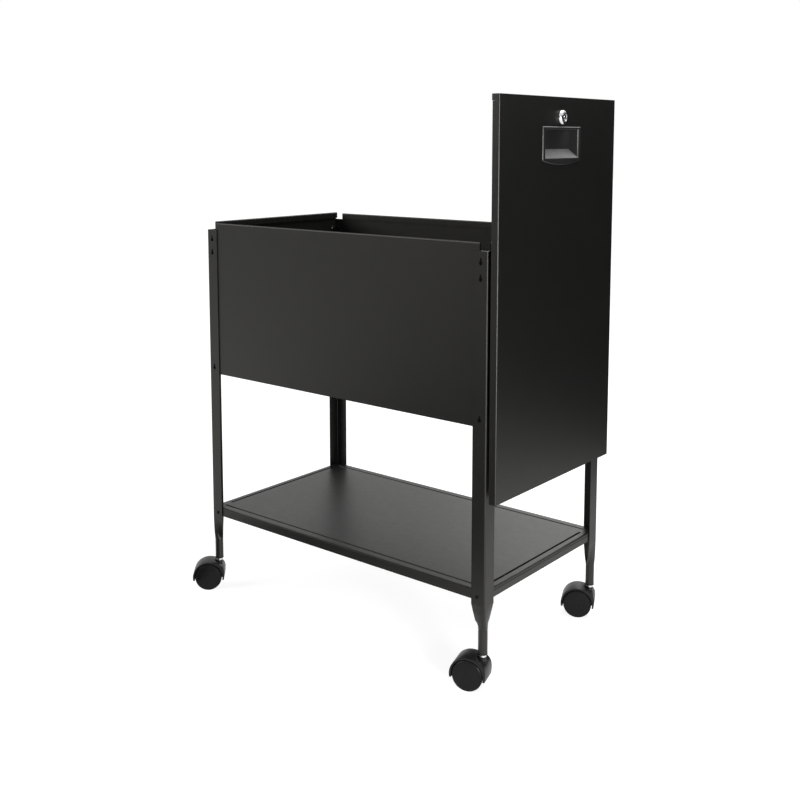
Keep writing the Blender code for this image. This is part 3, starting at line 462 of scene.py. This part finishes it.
def dress(piece, material, slot, body, *nodes):
    """Give a finished piece its finish and its body, and name the solids that it stands for."""
    piece.data.materials.clear()
    piece.data.materials.append(bpy.data.materials[material])
    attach(piece, body)
    if nodes:
        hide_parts(*nodes)


class Finish:
    """Node tree of one procedural finish, read from Object coordinates."""

    def __init__(self, name):
        self.material = bpy.data.materials.new(name)
        self.material.use_nodes = True
        self.tree = self.material.node_tree
        self.shader = self.tree.nodes["Principled BSDF"]
        self.coordinates = self.tree.nodes.new("ShaderNodeTexCoord")

    def link(self, source, target):
        """Join two sockets."""
        self.tree.links.new(source, target)

    def noise(self, scale, detail, stretch=(1.0, 1.0, 1.0)):
        """Noise over the piece, stretched along its axes if wanted."""
        mapping = self.tree.nodes.new("ShaderNodeMapping")
        mapping.inputs["Scale"].default_value = stretch
        self.link(self.coordinates.outputs["Object"], mapping.inputs["Vector"])
        node = self.tree.nodes.new("ShaderNodeTexNoise")
        node.inputs["Scale"].default_value = scale
        node.inputs["Detail"].default_value = detail
        self.link(mapping.outputs["Vector"], node.inputs["Vector"])
        return node.outputs["Fac"]

    def roughness(self, value, low, high):
        """Let the roughness follow a noise from low to high."""
        node = self.tree.nodes.new("ShaderNodeMapRange")
        node.inputs["From Min"].default_value = NOISE_LOW
        node.inputs["From Max"].default_value = NOISE_HIGH
        node.inputs["To Min"].default_value = low
        node.inputs["To Max"].default_value = high
        self.link(value, node.inputs["Value"])
        self.link(node.outputs["Result"], self.shader.inputs["Roughness"])

    def tint(self, value, base, low, high):
        """Let the colour follow a noise between two shares of the base colour."""
        node = self.tree.nodes.new("ShaderNodeValToRGB")
        node.color_ramp.elements[0].position = NOISE_LOW
        node.color_ramp.elements[1].position = NOISE_HIGH
        node.color_ramp.elements[0].color = (*[channel * low for channel in base], 1.0)
        node.color_ramp.elements[1].color = (*[channel * high for channel in base], 1.0)
        self.link(value, node.inputs["Fac"])
        self.link(node.outputs["Color"], self.shader.inputs["Base Color"])

    def paint_light_from_above(self, lit_colour, low, high):
        """Pass to a worn colour on faces whose upward slant, with the lid parked, goes from low to high."""
        facing_up = self.tree.nodes.new("ShaderNodeSeparateXYZ")
        self.link(self.coordinates.outputs["Normal"], facing_up.inputs["Vector"])
        amount = self.tree.nodes.new("ShaderNodeMapRange")
        amount.inputs["From Min"].default_value = low
        amount.inputs["From Max"].default_value = high
        self.link(facing_up.outputs["Z"], amount.inputs["Value"])
        blend = self.tree.nodes.new("ShaderNodeMixRGB")
        blend.inputs["Color2"].default_value = (*lit_colour, 1.0)
        target = self.shader.inputs["Base Color"]
        self.link(target.links[0].from_socket, blend.inputs["Color1"])
        self.link(amount.outputs["Result"], blend.inputs["Fac"])
        self.link(blend.outputs["Color"], target)

    def bump(self, value, strength, distance):
        """Let the surface rise and fall with a noise."""
        node = self.tree.nodes.new("ShaderNodeBump")
        node.inputs["Strength"].default_value = strength
        node.inputs["Distance"].default_value = distance
        self.link(value, node.inputs["Height"])
        self.link(node.outputs["Normal"], self.shader.inputs["Normal"])

    def set(self, **values):
        """Set inputs of the shader by name, with an underscore for each space."""
        for name, value in values.items():
            self.shader.inputs[name.replace("_", " ")].default_value = value


def powder_coat(finishes):
    """Satin black powder coat with orange peel and a faint unevenness."""
    finish = Finish("black_powder_coat")
    finish.set(Specular_IOR_Level=finishes.steel_gloss, Specular_Tint=(*finishes.steel_sheen, 1.0))
    finish.tint(finish.noise(scale=9.0, detail=3.0), finishes.steel, low=0.92, high=1.08)
    rough = finishes.steel_roughness
    finish.roughness(finish.noise(scale=90.0, detail=5.0), low=rough - 0.02, high=rough + 0.02)
    finish.bump(finish.noise(scale=1500.0, detail=2.0), strength=0.05, distance=0.0004)


def black_oxide(finishes):
    """Dull blackened steel of the small fasteners."""
    finish = Finish("black_oxide")
    finish.set(Specular_IOR_Level=finishes.oxide_gloss)
    finish.tint(finish.noise(scale=300.0, detail=2.0), finishes.oxide, low=0.7, high=1.3)
    finish.roughness(finish.noise(scale=500.0, detail=2.0), low=0.45, high=0.65)


def moulded_plastic(name, base, gloss, rough):
    """Black moulded plastic with a fine spark-eroded grain."""
    finish = Finish(name)
    finish.set(Specular_IOR_Level=gloss)
    finish.tint(finish.noise(scale=60.0, detail=3.0), base, low=0.85, high=1.15)
    finish.roughness(finish.noise(scale=140.0, detail=3.0), low=rough - 0.05, high=rough + 0.06)
    finish.bump(finish.noise(scale=2600.0, detail=1.0), strength=0.08, distance=0.0003)
    return finish


def handle_plastic_painted_light(finishes):
    """Handle plastic, paler where it faces up and fingers and dust reach it."""
    finish = moulded_plastic("handle_plastic_grain", finishes.pull, finishes.pull_gloss,
                             finishes.pull_roughness)
    # Upward faces of the handle get a painted highlight of the light from above.
    finish.paint_light_from_above(finishes.pull_painted_light, low=0.25, high=0.75)


def plated(name, base, low, high, stretch):
    """Plated metal whose roughness varies from low to high in fine streaks."""
    finish = Finish(name)
    finish.set(Metallic=1.0)
    finish.tint(finish.noise(scale=180.0, detail=3.0, stretch=stretch), base, low=0.93, high=1.05)
    finish.roughness(finish.noise(scale=420.0, detail=4.0, stretch=stretch), low, high)


def natural_nylon(finishes):
    """Off-white nylon, slightly cloudy."""
    finish = Finish("natural_nylon")
    finish.set(Subsurface_Weight=0.15)
    finish.tint(finish.noise(scale=90.0, detail=3.0), finishes.nylon, low=0.92, high=1.04)
    finish.roughness(finish.noise(scale=210.0, detail=2.0), low=0.42, high=0.55)


FINISH_OF_SLOT = {
    "black_steel": "black_powder_coat",
    "black_plastic": "black_plastic_grain",
    "wheel_plastic": "wheel_plastic_grain",
    "nylon": "natural_nylon",
    "chrome": "bright_chrome",
    "zinc_steel": "zinc_plate",
}


class CART_OT_finishes(Operator):
    """Make the finishes and put them on the packed pieces"""

    bl_idname = "cart.finishes"
    bl_label = "Finishes"

    def execute(self, context):
        finishes = context.scene.cart_finishes
        powder_coat(finishes)
        black_oxide(finishes)
        moulded_plastic("black_plastic_grain", finishes.plastic, finishes.plastic_gloss,
                        finishes.plastic_roughness)
        moulded_plastic("wheel_plastic_grain", finishes.wheel, finishes.wheel_gloss, finishes.wheel_roughness)
        handle_plastic_painted_light(finishes)
        plated("bright_chrome", finishes.chrome, low=0.05, high=0.12, stretch=(1.0, 1.0, 1.0))
        plated("zinc_plate", finishes.zinc, low=0.24, high=0.40, stretch=(1.0, 1.0, 0.1))
        natural_nylon(finishes)
        for subpart in frame["record"]["subparts"]:
            node = frame["nodes"][subpart["node"]]
            node.data.materials.clear()
            node.data.materials.append(bpy.data.materials[FINISH_OF_SLOT[subpart["material_slot"]]])
        return {"FINISHED"}


class CART_OT_handle(Operator):
    """Model the recessed handle: a flange with a bowed lower edge and a cup with a sloping floor"""

    bl_idname = "cart.handle"
    bl_label = "Handle"

    def execute(self, context):
        handle = context.scene.cart_handle
        low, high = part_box("handle_cup")
        half = (high.y - low.y) / 2
        piece = self.flange(handle, half)
        back = -handle.depth
        inner = half - handle.border
        top = handle.height / 2 - handle.border_top
        floor = -handle.height / 2 + handle.border_low
        wall = handle.wall
        cup = block("handle_tool", (-inner - wall, floor - wall, back - wall),
                    (inner + wall, top + wall, handle.seat * 2))
        join_or_cut(piece, cup, "UNION")
        join_or_cut(piece, self.hollow(handle, inner, floor, top, back), "DIFFERENCE")
        soften(piece, handle.edge, 2, angle=25.0)
        middle = Vector((LID_FACE, (low.y + high.y) / 2, high.z - handle.height / 2))
        upright = Matrix(((0, 0, 1), (1, 0, 0), (0, 1, 0))).to_4x4()
        set_place(piece, Matrix.Translation(middle) @ upright)
        dress(piece, "handle_plastic_grain", "black_plastic", "lid", "handle_cup")
        return {"FINISHED"}

    @classmethod
    def flange(cls, handle, half):
        """Flange plate in the XY plane, facing +Z, with a slanted edge."""
        piece = cls.outline(handle, half)
        extrude(handle.proud - handle.seat - handle.chamfer)
        extrude(handle.chamfer)
        slim = Vector((1 - handle.chamfer / half, 1 - 2 * handle.chamfer / handle.height, 1.0))
        bpy.ops.transform.resize(value=slim, center_override=(0.0, 0.0, handle.proud))
        face_outward()
        return piece

    @staticmethod
    def outline(handle, half):
        """Flat outline of the flange with a bowed lower edge and round corners, selected in edit mode."""
        piece = start("handle_pull", bpy.ops.mesh.primitive_plane_add, size=1.0)
        piece.scale = (2 * half, handle.height, 1.0)
        piece.location.z = handle.seat
        settle(piece)
        bpy.ops.object.mode_set(mode="EDIT")
        low = -handle.height / 2
        pick(piece, "edges", lambda edge: all(abs(v.co.y - low) < TOUCH for v in edge.verts))
        bpy.ops.mesh.subdivide(number_cuts=BOW_CUTS, ngon=True)
        for cut in range(1, BOW_CUTS + 1):
            along = 2 * cut / (BOW_CUTS + 1) - 1
            pick(piece, "verts", lambda v: abs(v.co.y - low) < TOUCH and abs(v.co.x - along * half) < TOUCH)
            bpy.ops.transform.translate(value=(0.0, -handle.sag * (1 - along * along), 0.0))
        pick(piece, "verts", lambda v: abs(v.co.x) > half - TOUCH)
        bpy.ops.mesh.bevel(affect="VERTICES", offset=handle.corner, segments=CORNER_SEGMENTS)
        bpy.ops.mesh.select_all(action="SELECT")
        return piece

    @staticmethod
    def hollow(handle, inner, floor, top, back):
        """Tool for the cup's inside: its floor slopes up to the back and its mouth widens to the front."""
        mouth = handle.proud - handle.mouth
        tool = block("handle_tool", (-inner, floor, back), (inner, top, mouth))
        bpy.ops.object.mode_set(mode="EDIT")
        pick(tool, "verts", lambda v: v.co.z < 0 and v.co.y < (floor + top) / 2)
        bpy.ops.transform.translate(value=(0.0, handle.floor_rise, 0.0))
        pick(tool, "faces", lambda face: face.normal.z > 0.9)
        reach = 2 * handle.mouth
        wide = Vector((1 + reach / inner, 1 + 2 * reach / (top - floor), 1.0))
        extrude(reach)
        bpy.ops.transform.resize(value=wide, center_override=(0.0, (floor + top) / 2, mouth + reach))
        bpy.ops.object.mode_set(mode="OBJECT")
        return tool


class CART_OT_lock(Operator):
    """Model the cam lock: a domed chrome housing and a turning plug with a key slot"""

    bl_idname = "cart.lock"
    bl_label = "Cam lock"

    def execute(self, context):
        lock = context.scene.cart_lock
        place = Vector(JOINTS["lock_turn"]["pos_m"])
        place.x = LID_FACE
        outward = facing(place, (1.0, 0.0, 0.0))
        housing = self.housing(lock)
        set_place(housing, outward)
        dress(housing, "bright_chrome", "chrome", "lid", "lock_housing")
        plug = self.plug(lock)
        set_place(plug, outward)
        dress(plug, "bright_chrome", "chrome", "lock_core", "lock_plug")
        return {"FINISHED"}

    @staticmethod
    def housing(lock):
        """Barrel and stepped, domed bezel, bored for the plug."""
        barrel = [(lock.barrel, -lock.back), (lock.barrel, lock.seat)]
        bezel = scaled(BEZEL_PROFILE, lock.bezel, lock.proud - lock.seat, lock.seat)
        piece = turned("lock_bezel", barrel + bezel, LOCK_STEPS)
        drill(piece, lock.plug + lock.plug_gap, -2 * lock.back, 2 * lock.proud, LOCK_STEPS)
        soften(piece, lock.edge, 3, angle=50.0)
        return piece

    @staticmethod
    def plug(lock):
        """Plug with a shallow dish in its face and the key slot."""
        face = lock.proud - lock.plug_sink
        chamfer, land, dish = (lock.plug * part for part in PLUG_SHARES)
        steps = [(lock.plug, -lock.back - lock.stub), (lock.plug, face - lock.plug_chamfer), (chamfer, face),
                 (land, face), (dish, face - lock.plug_dish)]
        piece = turned("lock_key_plug", steps, LOCK_STEPS)
        half = Vector((lock.slot_height / 2, lock.slot_width / 2))
        tool = block("lock_tool", (-half.x, -half.y, face - lock.slot_depth), (half.x, half.y, 2 * face))
        join_or_cut(piece, tool, "DIFFERENCE")
        soften(piece, lock.plug_edge, 2, angle=50.0)
        return piece


class CART_OT_gussets(Operator):
    """Set a corner gusset inside each end of the lid's folded lip"""

    bl_idname = "cart.gussets"
    bl_label = "Lid gussets"

    def execute(self, context):
        sizes = context.scene.cart_gussets
        low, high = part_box("lid_lip")
        for side, edge, sign in (("front", low.y, -1), ("back", high.y, 1)):
            span = sorted((edge - sign * sizes.inset, edge - sign * (sizes.inset + sizes.sheet)))
            piece = block("lid_gusset_" + side, (low.x + sizes.inset, span[0], low.z),
                          (high.x - sizes.inset, span[1], high.z - sizes.inset))
            soften(piece, sizes.sheet / 4, 2)
            dress(piece, "black_powder_coat", "black_steel", "lid")
        return {"FINISHED"}


class CART_OT_casters(Operator):
    """Model the casters once and set them under the four legs"""

    bl_idname = "cart.casters"
    bl_label = "Casters"

    def execute(self, context):
        sizes = context.scene.cart_casters
        self.place_wheels(sizes)
        stands = []
        for corner, _, _ in CORNERS:
            axle = JOINTS["roll_" + corner + "_far"]["axis"]
            stem = Vector(JOINTS["swivel_" + corner]["pos_m"])
            turn = Matrix.Rotation(math.atan2(-axle[0], axle[1]), 4, "Z")
            stands.append(Matrix.Translation((stem.x, stem.y, 0.0)) @ turn)
        self.place(self.hood(sizes), "hood", stands, "black_plastic", "black_plastic_grain")
        self.place(self.stem(sizes), "stem", stands, "zinc_steel", "zinc_plate")
        return {"FINISHED"}

    @staticmethod
    def place(model, kind, stands, slot, finish):
        """Copy one model to the four corners, each on its own caster."""
        names = ["caster_" + corner + "_" + kind for corner, _, _ in CORNERS]
        for (corner, _, _), piece in zip(CORNERS, spread(model, names, stands)):
            dress(piece, finish, slot, "caster_" + corner, "caster_" + kind + "_" + corner)

    @staticmethod
    def wheel(sizes):
        """Wheel from its hub side to its outer disc: rounded tread, rim line and a slightly domed disc."""
        steps = scaled(WHEEL_PROFILE, sizes.wheel_radius, sizes.wheel_width)
        piece = turned("wheel_model", steps, sizes.vertices)
        smooth(piece, 30.0)
        return piece

    def place_wheels(self, sizes):
        """Eight wheels, each on its own axle end."""
        names = []
        matrices = []
        nodes = []
        for corner, _, _ in CORNERS:
            for side, sign in (("near", -1.0), ("far", 1.0)):
                joint = JOINTS["roll_" + corner + "_" + side]
                out = Vector(joint["axis"]).normalized() * sign
                place = Vector(joint["pos_m"]) + out * (sizes.web_half + sizes.wheel_gap)
                names.append("caster_" + corner + "_wheel_" + side)
                nodes.append("wheel_" + corner + "_" + side)
                matrices.append(facing(place, out))
        for node, piece in zip(nodes, spread(self.wheel(sizes), names, matrices)):
            dress(piece, "wheel_plastic_grain", "wheel_plastic", node, node)

    @classmethod
    def hood(cls, sizes):
        """Hood over both wheels with the web between them, the stem's pocket and boss, and the holes."""
        axle = Vector((-sizes.trail, 0.0, sizes.wheel_radius))
        piece = cls.dome(sizes, axle)
        drill(piece, sizes.pocket, sizes.seat, 2 * sizes.seat, STEM_STEPS)
        boss = turned("hood_tool", [(sizes.boss, sizes.stem_foot), (sizes.boss, sizes.boss_top)], STEM_STEPS)
        join_or_cut(piece, boss, "UNION")
        for sign in (-1.0, 1.0):
            drill(piece, sizes.hood_inner, sizes.web_half, 2 * sizes.hood_half, sizes.vertices,
                  facing(axle, (0.0, sign, 0.0)))
        drill(piece, sizes.stem + sizes.stem_gap, sizes.stem_foot - sizes.stem_gap, 2 * sizes.seat,
              HOLE_STEPS)
        drill(piece, sizes.axle, -2 * sizes.web_half, 2 * sizes.web_half, HOLE_STEPS,
              facing(axle, (0.0, 1.0, 0.0)))
        soften(piece, sizes.hood_edge, 3, angle=40.0)
        return piece

    @staticmethod
    def dome(sizes, axle):
        """Solid dome of the hood about the axle, swollen round the stem and cut off at its lower edge."""
        piece = start("hood_model", bpy.ops.mesh.primitive_cylinder_add, vertices=sizes.vertices,
                      radius=sizes.hood_outer, depth=2 * sizes.hood_half)
        piece.rotation_euler.x = math.pi / 2
        piece.location = axle
        settle(piece)
        bpy.ops.object.mode_set(mode="EDIT")
        for k in range(sizes.vertices):
            angle = 360.0 * k / sizes.vertices
            off = (angle - sizes.bulge_at + 180.0) % 360.0 - 180.0
            swell = sizes.bulge * math.exp(-(off / sizes.bulge_spread) ** 2)
            if swell < TOUCH:
                continue
            ray = Vector((math.cos(math.radians(angle)), 0.0, math.sin(math.radians(angle))))
            pick(piece, "verts",
                 lambda v: ray.angle(Vector((v.co.x - axle.x, 0.0, v.co.z - axle.z))) < ALIGNED)
            factor = 1.0 + swell / sizes.hood_outer
            bpy.ops.transform.resize(value=(factor, 1.0, factor), center_override=axle)
        bpy.ops.mesh.select_all(action="SELECT")
        bpy.ops.mesh.bisect(plane_co=(0.0, 0.0, sizes.hood_low), plane_no=(0.0, 0.0, 1.0), use_fill=True,
                            clear_inner=True)
        bpy.ops.object.mode_set(mode="OBJECT")
        return piece

    @staticmethod
    def stem(sizes):
        """Steel stem with a rounded collar."""
        edge = sizes.stem_edge
        steps = [(sizes.stem, sizes.stem_foot), (sizes.stem, sizes.collar_low),
                 (sizes.collar - edge, sizes.collar_low), (sizes.collar, sizes.collar_low + edge),
                 (sizes.collar, sizes.collar_high - edge), (sizes.collar - edge, sizes.collar_high),
                 (sizes.stem, sizes.collar_high), (sizes.stem, sizes.stem_top - edge),
                 (sizes.stem - edge, sizes.stem_top)]
        piece = turned("stem_model", steps, STEM_STEPS)
        smooth(piece, 35.0)
        return piece


class CART_OT_studs(Operator):
    """Set a stud in each keyhole and a nut behind it inside the tub"""

    bl_idname = "cart.studs"
    bl_label = "Studs and nuts"

    def execute(self, context):
        sizes = context.scene.cart_fasteners
        names, studs, nuts = zip(*self.places(sizes))
        for piece in spread(self.stud(sizes), ["stud_" + name for name in names], studs):
            dress(piece, "black_oxide", "black_steel", "frame")
        for piece in spread(self.nut(sizes), ["nut_" + name for name in names], nuts):
            dress(piece, "black_oxide", "black_steel", "frame")
        return {"FINISHED"}

    @staticmethod
    def places(sizes):
        """Name, stud place and nut place for each keyhole."""
        for corner, sign_x, sign_y in CORNERS:
            edge_x, edge_y = leg_edges(corner, sign_x, sign_y)
            across = Vector((0.0, sign_y, 0.0))
            along = Vector((sign_x, 0.0, 0.0))
            for k, drop in enumerate((sizes.drop_high, sizes.drop_middle, sizes.drop_low)):
                z = RIM - drop
                side = Vector((edge_x - sign_x * sizes.inset, edge_y - sign_y * sizes.leg_sheet, z))
                end = Vector((edge_x - sign_x * sizes.leg_sheet, edge_y - sign_y * sizes.inset, z))
                for face, place, out, wall in (("side", side, across, sizes.long_wall),
                                               ("end", end, along, sizes.end_wall)):
                    name = corner + "_" + face + "_" + str(k + 1)
                    behind = place - out * (wall + sizes.nut_gap)
                    yield name, facing(place, out), facing(behind, -out)

    @staticmethod
    def stud(sizes):
        """Round stud sunk in the panel's hole, with a turned dimple in its face."""
        face = -sizes.stud_sink
        chamfer, land, dimple = (sizes.stud * part for part in STUD_SHARES)
        steps = [(sizes.stud, face - sizes.stud_thick), (sizes.stud, face - sizes.stud_chamfer),
                 (chamfer, face), (land, face), (dimple, face - sizes.stud_dimple)]
        piece = turned("stud_model", steps, STUD_STEPS)
        smooth(piece, 40.0)
        return piece

    @staticmethod
    def nut(sizes):
        """Hexagonal nut with a domed screw end."""
        thick = sizes.nut_thick
        piece = turned("nut_model", [(sizes.nut, 0.0), (sizes.nut, thick)], 6)
        soften(piece, sizes.nut_edge, 2)
        steps = [(sizes.end, thick / 2), (sizes.end, thick + sizes.end_step),
                 (sizes.end_tip, thick + 2 * sizes.end_step)]
        join_or_cut(piece, turned("nut_tool", steps, STUD_STEPS), "UNION")
        return piece


class CART_OT_screws(Operator):
    """Set the cross-head screws that hold the shelf to the legs"""

    bl_idname = "cart.screws"
    bl_label = "Shelf screws"

    def execute(self, context):
        sizes = context.scene.cart_fasteners
        names = []
        matrices = []
        for corner, sign_x, sign_y in CORNERS:
            edge_x, edge_y = leg_edges(corner, sign_x, sign_y)
            place = (edge_x - sign_x * sizes.screw_inset, edge_y + sign_y * sizes.screw_gap, sizes.screw_z)
            names.append("screw_" + corner)
            matrices.append(facing(place, (0.0, sign_y, 0.0)))
        for piece in spread(self.screw(sizes), names, matrices):
            dress(piece, "black_oxide", "black_steel", "frame")
        return {"FINISHED"}

    @staticmethod
    def screw(sizes):
        """Pan head with a cross recess."""
        steps = scaled(SCREW_PROFILE, sizes.screw, sizes.screw_proud)
        piece = turned("screw_model", steps, HOLE_STEPS)
        for x, y in ((sizes.cross_arm, sizes.cross_half), (sizes.cross_half, sizes.cross_arm)):
            tool = block("screw_tool", (-x, -y, sizes.cross_floor), (x, y, 2 * sizes.screw_proud))
            join_or_cut(piece, tool, "DIFFERENCE")
        smooth(piece, 40.0)
        return piece


class CART_OT_stage(Operator):
    """Set the floor, the studio light and the camera"""

    bl_idname = "cart.stage"
    bl_label = "Stage"

    def execute(self, context):
        settings = context.scene.cart_stage
        self.floor(settings)
        self.surroundings(context.scene, settings)
        for name, place, turn, size, shade in CARDS:
            self.card(name, place, turn, size, getattr(settings, shade))
        for lamp in LAMPS:
            self.lamp(*lamp)
        self.camera(context.scene, settings)
        context.scene.view_settings.view_transform = "Standard"
        return {"FINISHED"}

    @staticmethod
    def seen(tree):
        """1 where the camera, a mirror or a glass looks straight at a surface, else 0."""
        path = tree.nodes.new("ShaderNodeLightPath")
        total = path.outputs["Is Camera Ray"]
        for name in ("Is Glossy Ray", "Is Transmission Ray"):
            node = tree.nodes.new("ShaderNodeMath")
            node.operation = "MAXIMUM"
            tree.links.new(total, node.inputs[0])
            tree.links.new(path.outputs[name], node.inputs[1])
            total = node.outputs[0]
        return total

    @staticmethod
    def matt(piece, base, roughness):
        """Give a stage piece a plain material without gloss, and return its shader and node tree."""
        material = bpy.data.materials.new(piece.name)
        material.use_nodes = True
        shader = material.node_tree.nodes["Principled BSDF"]
        shader.inputs["Base Color"].default_value = (*base, 1.0)
        shader.inputs["Roughness"].default_value = roughness
        shader.inputs["Specular IOR Level"].default_value = 0.0
        piece.data.materials.append(material)
        return shader, material.node_tree

    def floor(self, settings):
        """Plain pale floor, lifted to white where it is looked at, that keeps the shadow."""
        piece = start("studio_floor", bpy.ops.mesh.primitive_plane_add, size=FLOOR_SIZE)
        settle(piece)
        shader, tree = self.matt(piece, settings.floor, FLOOR_ROUGHNESS)
        shader.inputs["Emission Color"].default_value = WHITE
        place = tree.nodes.new("ShaderNodeTexCoord")
        away = tree.nodes.new("ShaderNodeVectorMath")
        away.operation = "LENGTH"
        tree.links.new(place.outputs["Object"], away.inputs[0])
        rise = tree.nodes.new("ShaderNodeMapRange")
        rise.inputs["From Min"].default_value = settings.floor_near
        rise.inputs["From Max"].default_value = settings.floor_far
        rise.inputs["To Min"].default_value = settings.floor_lift
        tree.links.new(away.outputs["Value"], rise.inputs["Value"])
        lift = tree.nodes.new("ShaderNodeMath")
        lift.operation = "MULTIPLY"
        tree.links.new(rise.outputs["Result"], lift.inputs[1])
        tree.links.new(self.seen(tree), lift.inputs[0])
        tree.links.new(lift.outputs[0], shader.inputs["Emission Strength"])

    def card(self, name, place, turn, size, shade):
        """Dark card that only reflections show, to keep a face of the cart dark."""
        piece = start("studio_card_" + name, bpy.ops.mesh.primitive_plane_add, size=1.0)
        piece.scale = (*size, 1.0)
        piece.rotation_euler = [math.radians(angle) for angle in turn]
        piece.location = Vector(place) + Vector((MIDDLE.x, MIDDLE.y, 0.0))
        settle(piece)
        piece.visible_camera = False
        piece.visible_shadow = False
        self.matt(piece, shade, 1.0)

    def surroundings(self, scene, settings):
        """Even light, with a white background where it is looked at."""
        world = bpy.data.worlds.new("studio")
        world.use_nodes = True
        tree = world.node_tree
        background = tree.nodes["Background"]
        background.inputs["Color"].default_value = WHITE
        node = tree.nodes.new("ShaderNodeMapRange")
        node.inputs["To Min"].default_value = settings.ambient
        tree.links.new(self.seen(tree), node.inputs["Value"])
        tree.links.new(node.outputs["Result"], background.inputs["Strength"])
        scene.world = world

    @staticmethod
    def lamp(name, place, target, width, height, energy):
        """Soft box aimed at a point."""
        bpy.ops.object.light_add(type="AREA", location=Vector(place) + Vector((MIDDLE.x, MIDDLE.y, 0.0)))
        holder = bpy.context.active_object
        holder.name = "lamp_" + name
        holder.data.energy = energy
        holder.data.shape = "RECTANGLE"
        holder.data.size = width
        holder.data.size_y = height
        aim = Vector(target) - Vector(place)
        holder.rotation_euler = aim.to_track_quat("-Z", "Y").to_euler()

    @staticmethod
    def camera(scene, settings):
        """Camera close to the photograph's place, tilted a little, with its lens shifted down."""
        place = (MIDDLE.x + settings.eye_x, MIDDLE.y + settings.eye_y, settings.eye_z)
        turn = (math.radians(90.0 - settings.pitch), 0.0, math.radians(settings.azimuth))
        bpy.ops.object.camera_add(location=place, rotation=turn)
        camera = bpy.context.active_object
        camera.data.sensor_width = SENSOR_WIDTH
        camera.data.lens = settings.lens
        camera.data.shift_y = settings.shift
        scene.camera = camera


OPERATORS = (CART_OT_finishes, CART_OT_handle, CART_OT_lock, CART_OT_gussets, CART_OT_casters, CART_OT_studs,
             CART_OT_screws, CART_OT_stage)
SETTINGS = (("cart_finishes", CartFinishes), ("cart_handle", CartHandle), ("cart_lock", CartLock),
            ("cart_gussets", CartGussets), ("cart_casters", CartCasters), ("cart_fasteners", CartFasteners),
            ("cart_stage", CartStage))


class CART_PT_sidebar(Panel):
    """Lists the cart's pieces and their sizes"""

    bl_idname = "CART_PT_sidebar"
    bl_label = "Tub-file cart"
    bl_space_type = "VIEW_3D"
    bl_region_type = "UI"
    bl_category = "Cart"

    def draw(self, context):
        for operator in OPERATORS:
            self.layout.operator(operator.bl_idname)
        for name, group in SETTINGS:
            column = self.layout.column(heading=group.__doc__)
            for label in group.__annotations__:
                column.prop(getattr(context.scene, name), label)


def register():
    """Register the settings, operators and panel."""
    for name, group in SETTINGS:
        bpy.utils.register_class(group)
        setattr(bpy.types.Scene, name, PointerProperty(type=group))
    for operator in OPERATORS:
        bpy.utils.register_class(operator)
    bpy.utils.register_class(CART_PT_sidebar)


def unregister():
    """Take the panel, operators and settings away again."""
    bpy.utils.unregister_class(CART_PT_sidebar)
    for operator in reversed(OPERATORS):
        bpy.utils.unregister_class(operator)
    for name, group in reversed(SETTINGS):
        delattr(bpy.types.Scene, name)
        bpy.utils.unregister_class(group)


def main():
    """Dress the cart, set the stage and write both boxes."""
    register()
    bpy.ops.cart.finishes()
    bpy.ops.cart.handle()
    bpy.ops.cart.lock()
    bpy.ops.cart.gussets()
    bpy.ops.cart.casters()
    bpy.ops.cart.studs()
    bpy.ops.cart.screws()
    bpy.ops.cart.stage()


if __name__ == "__main__":
    main()
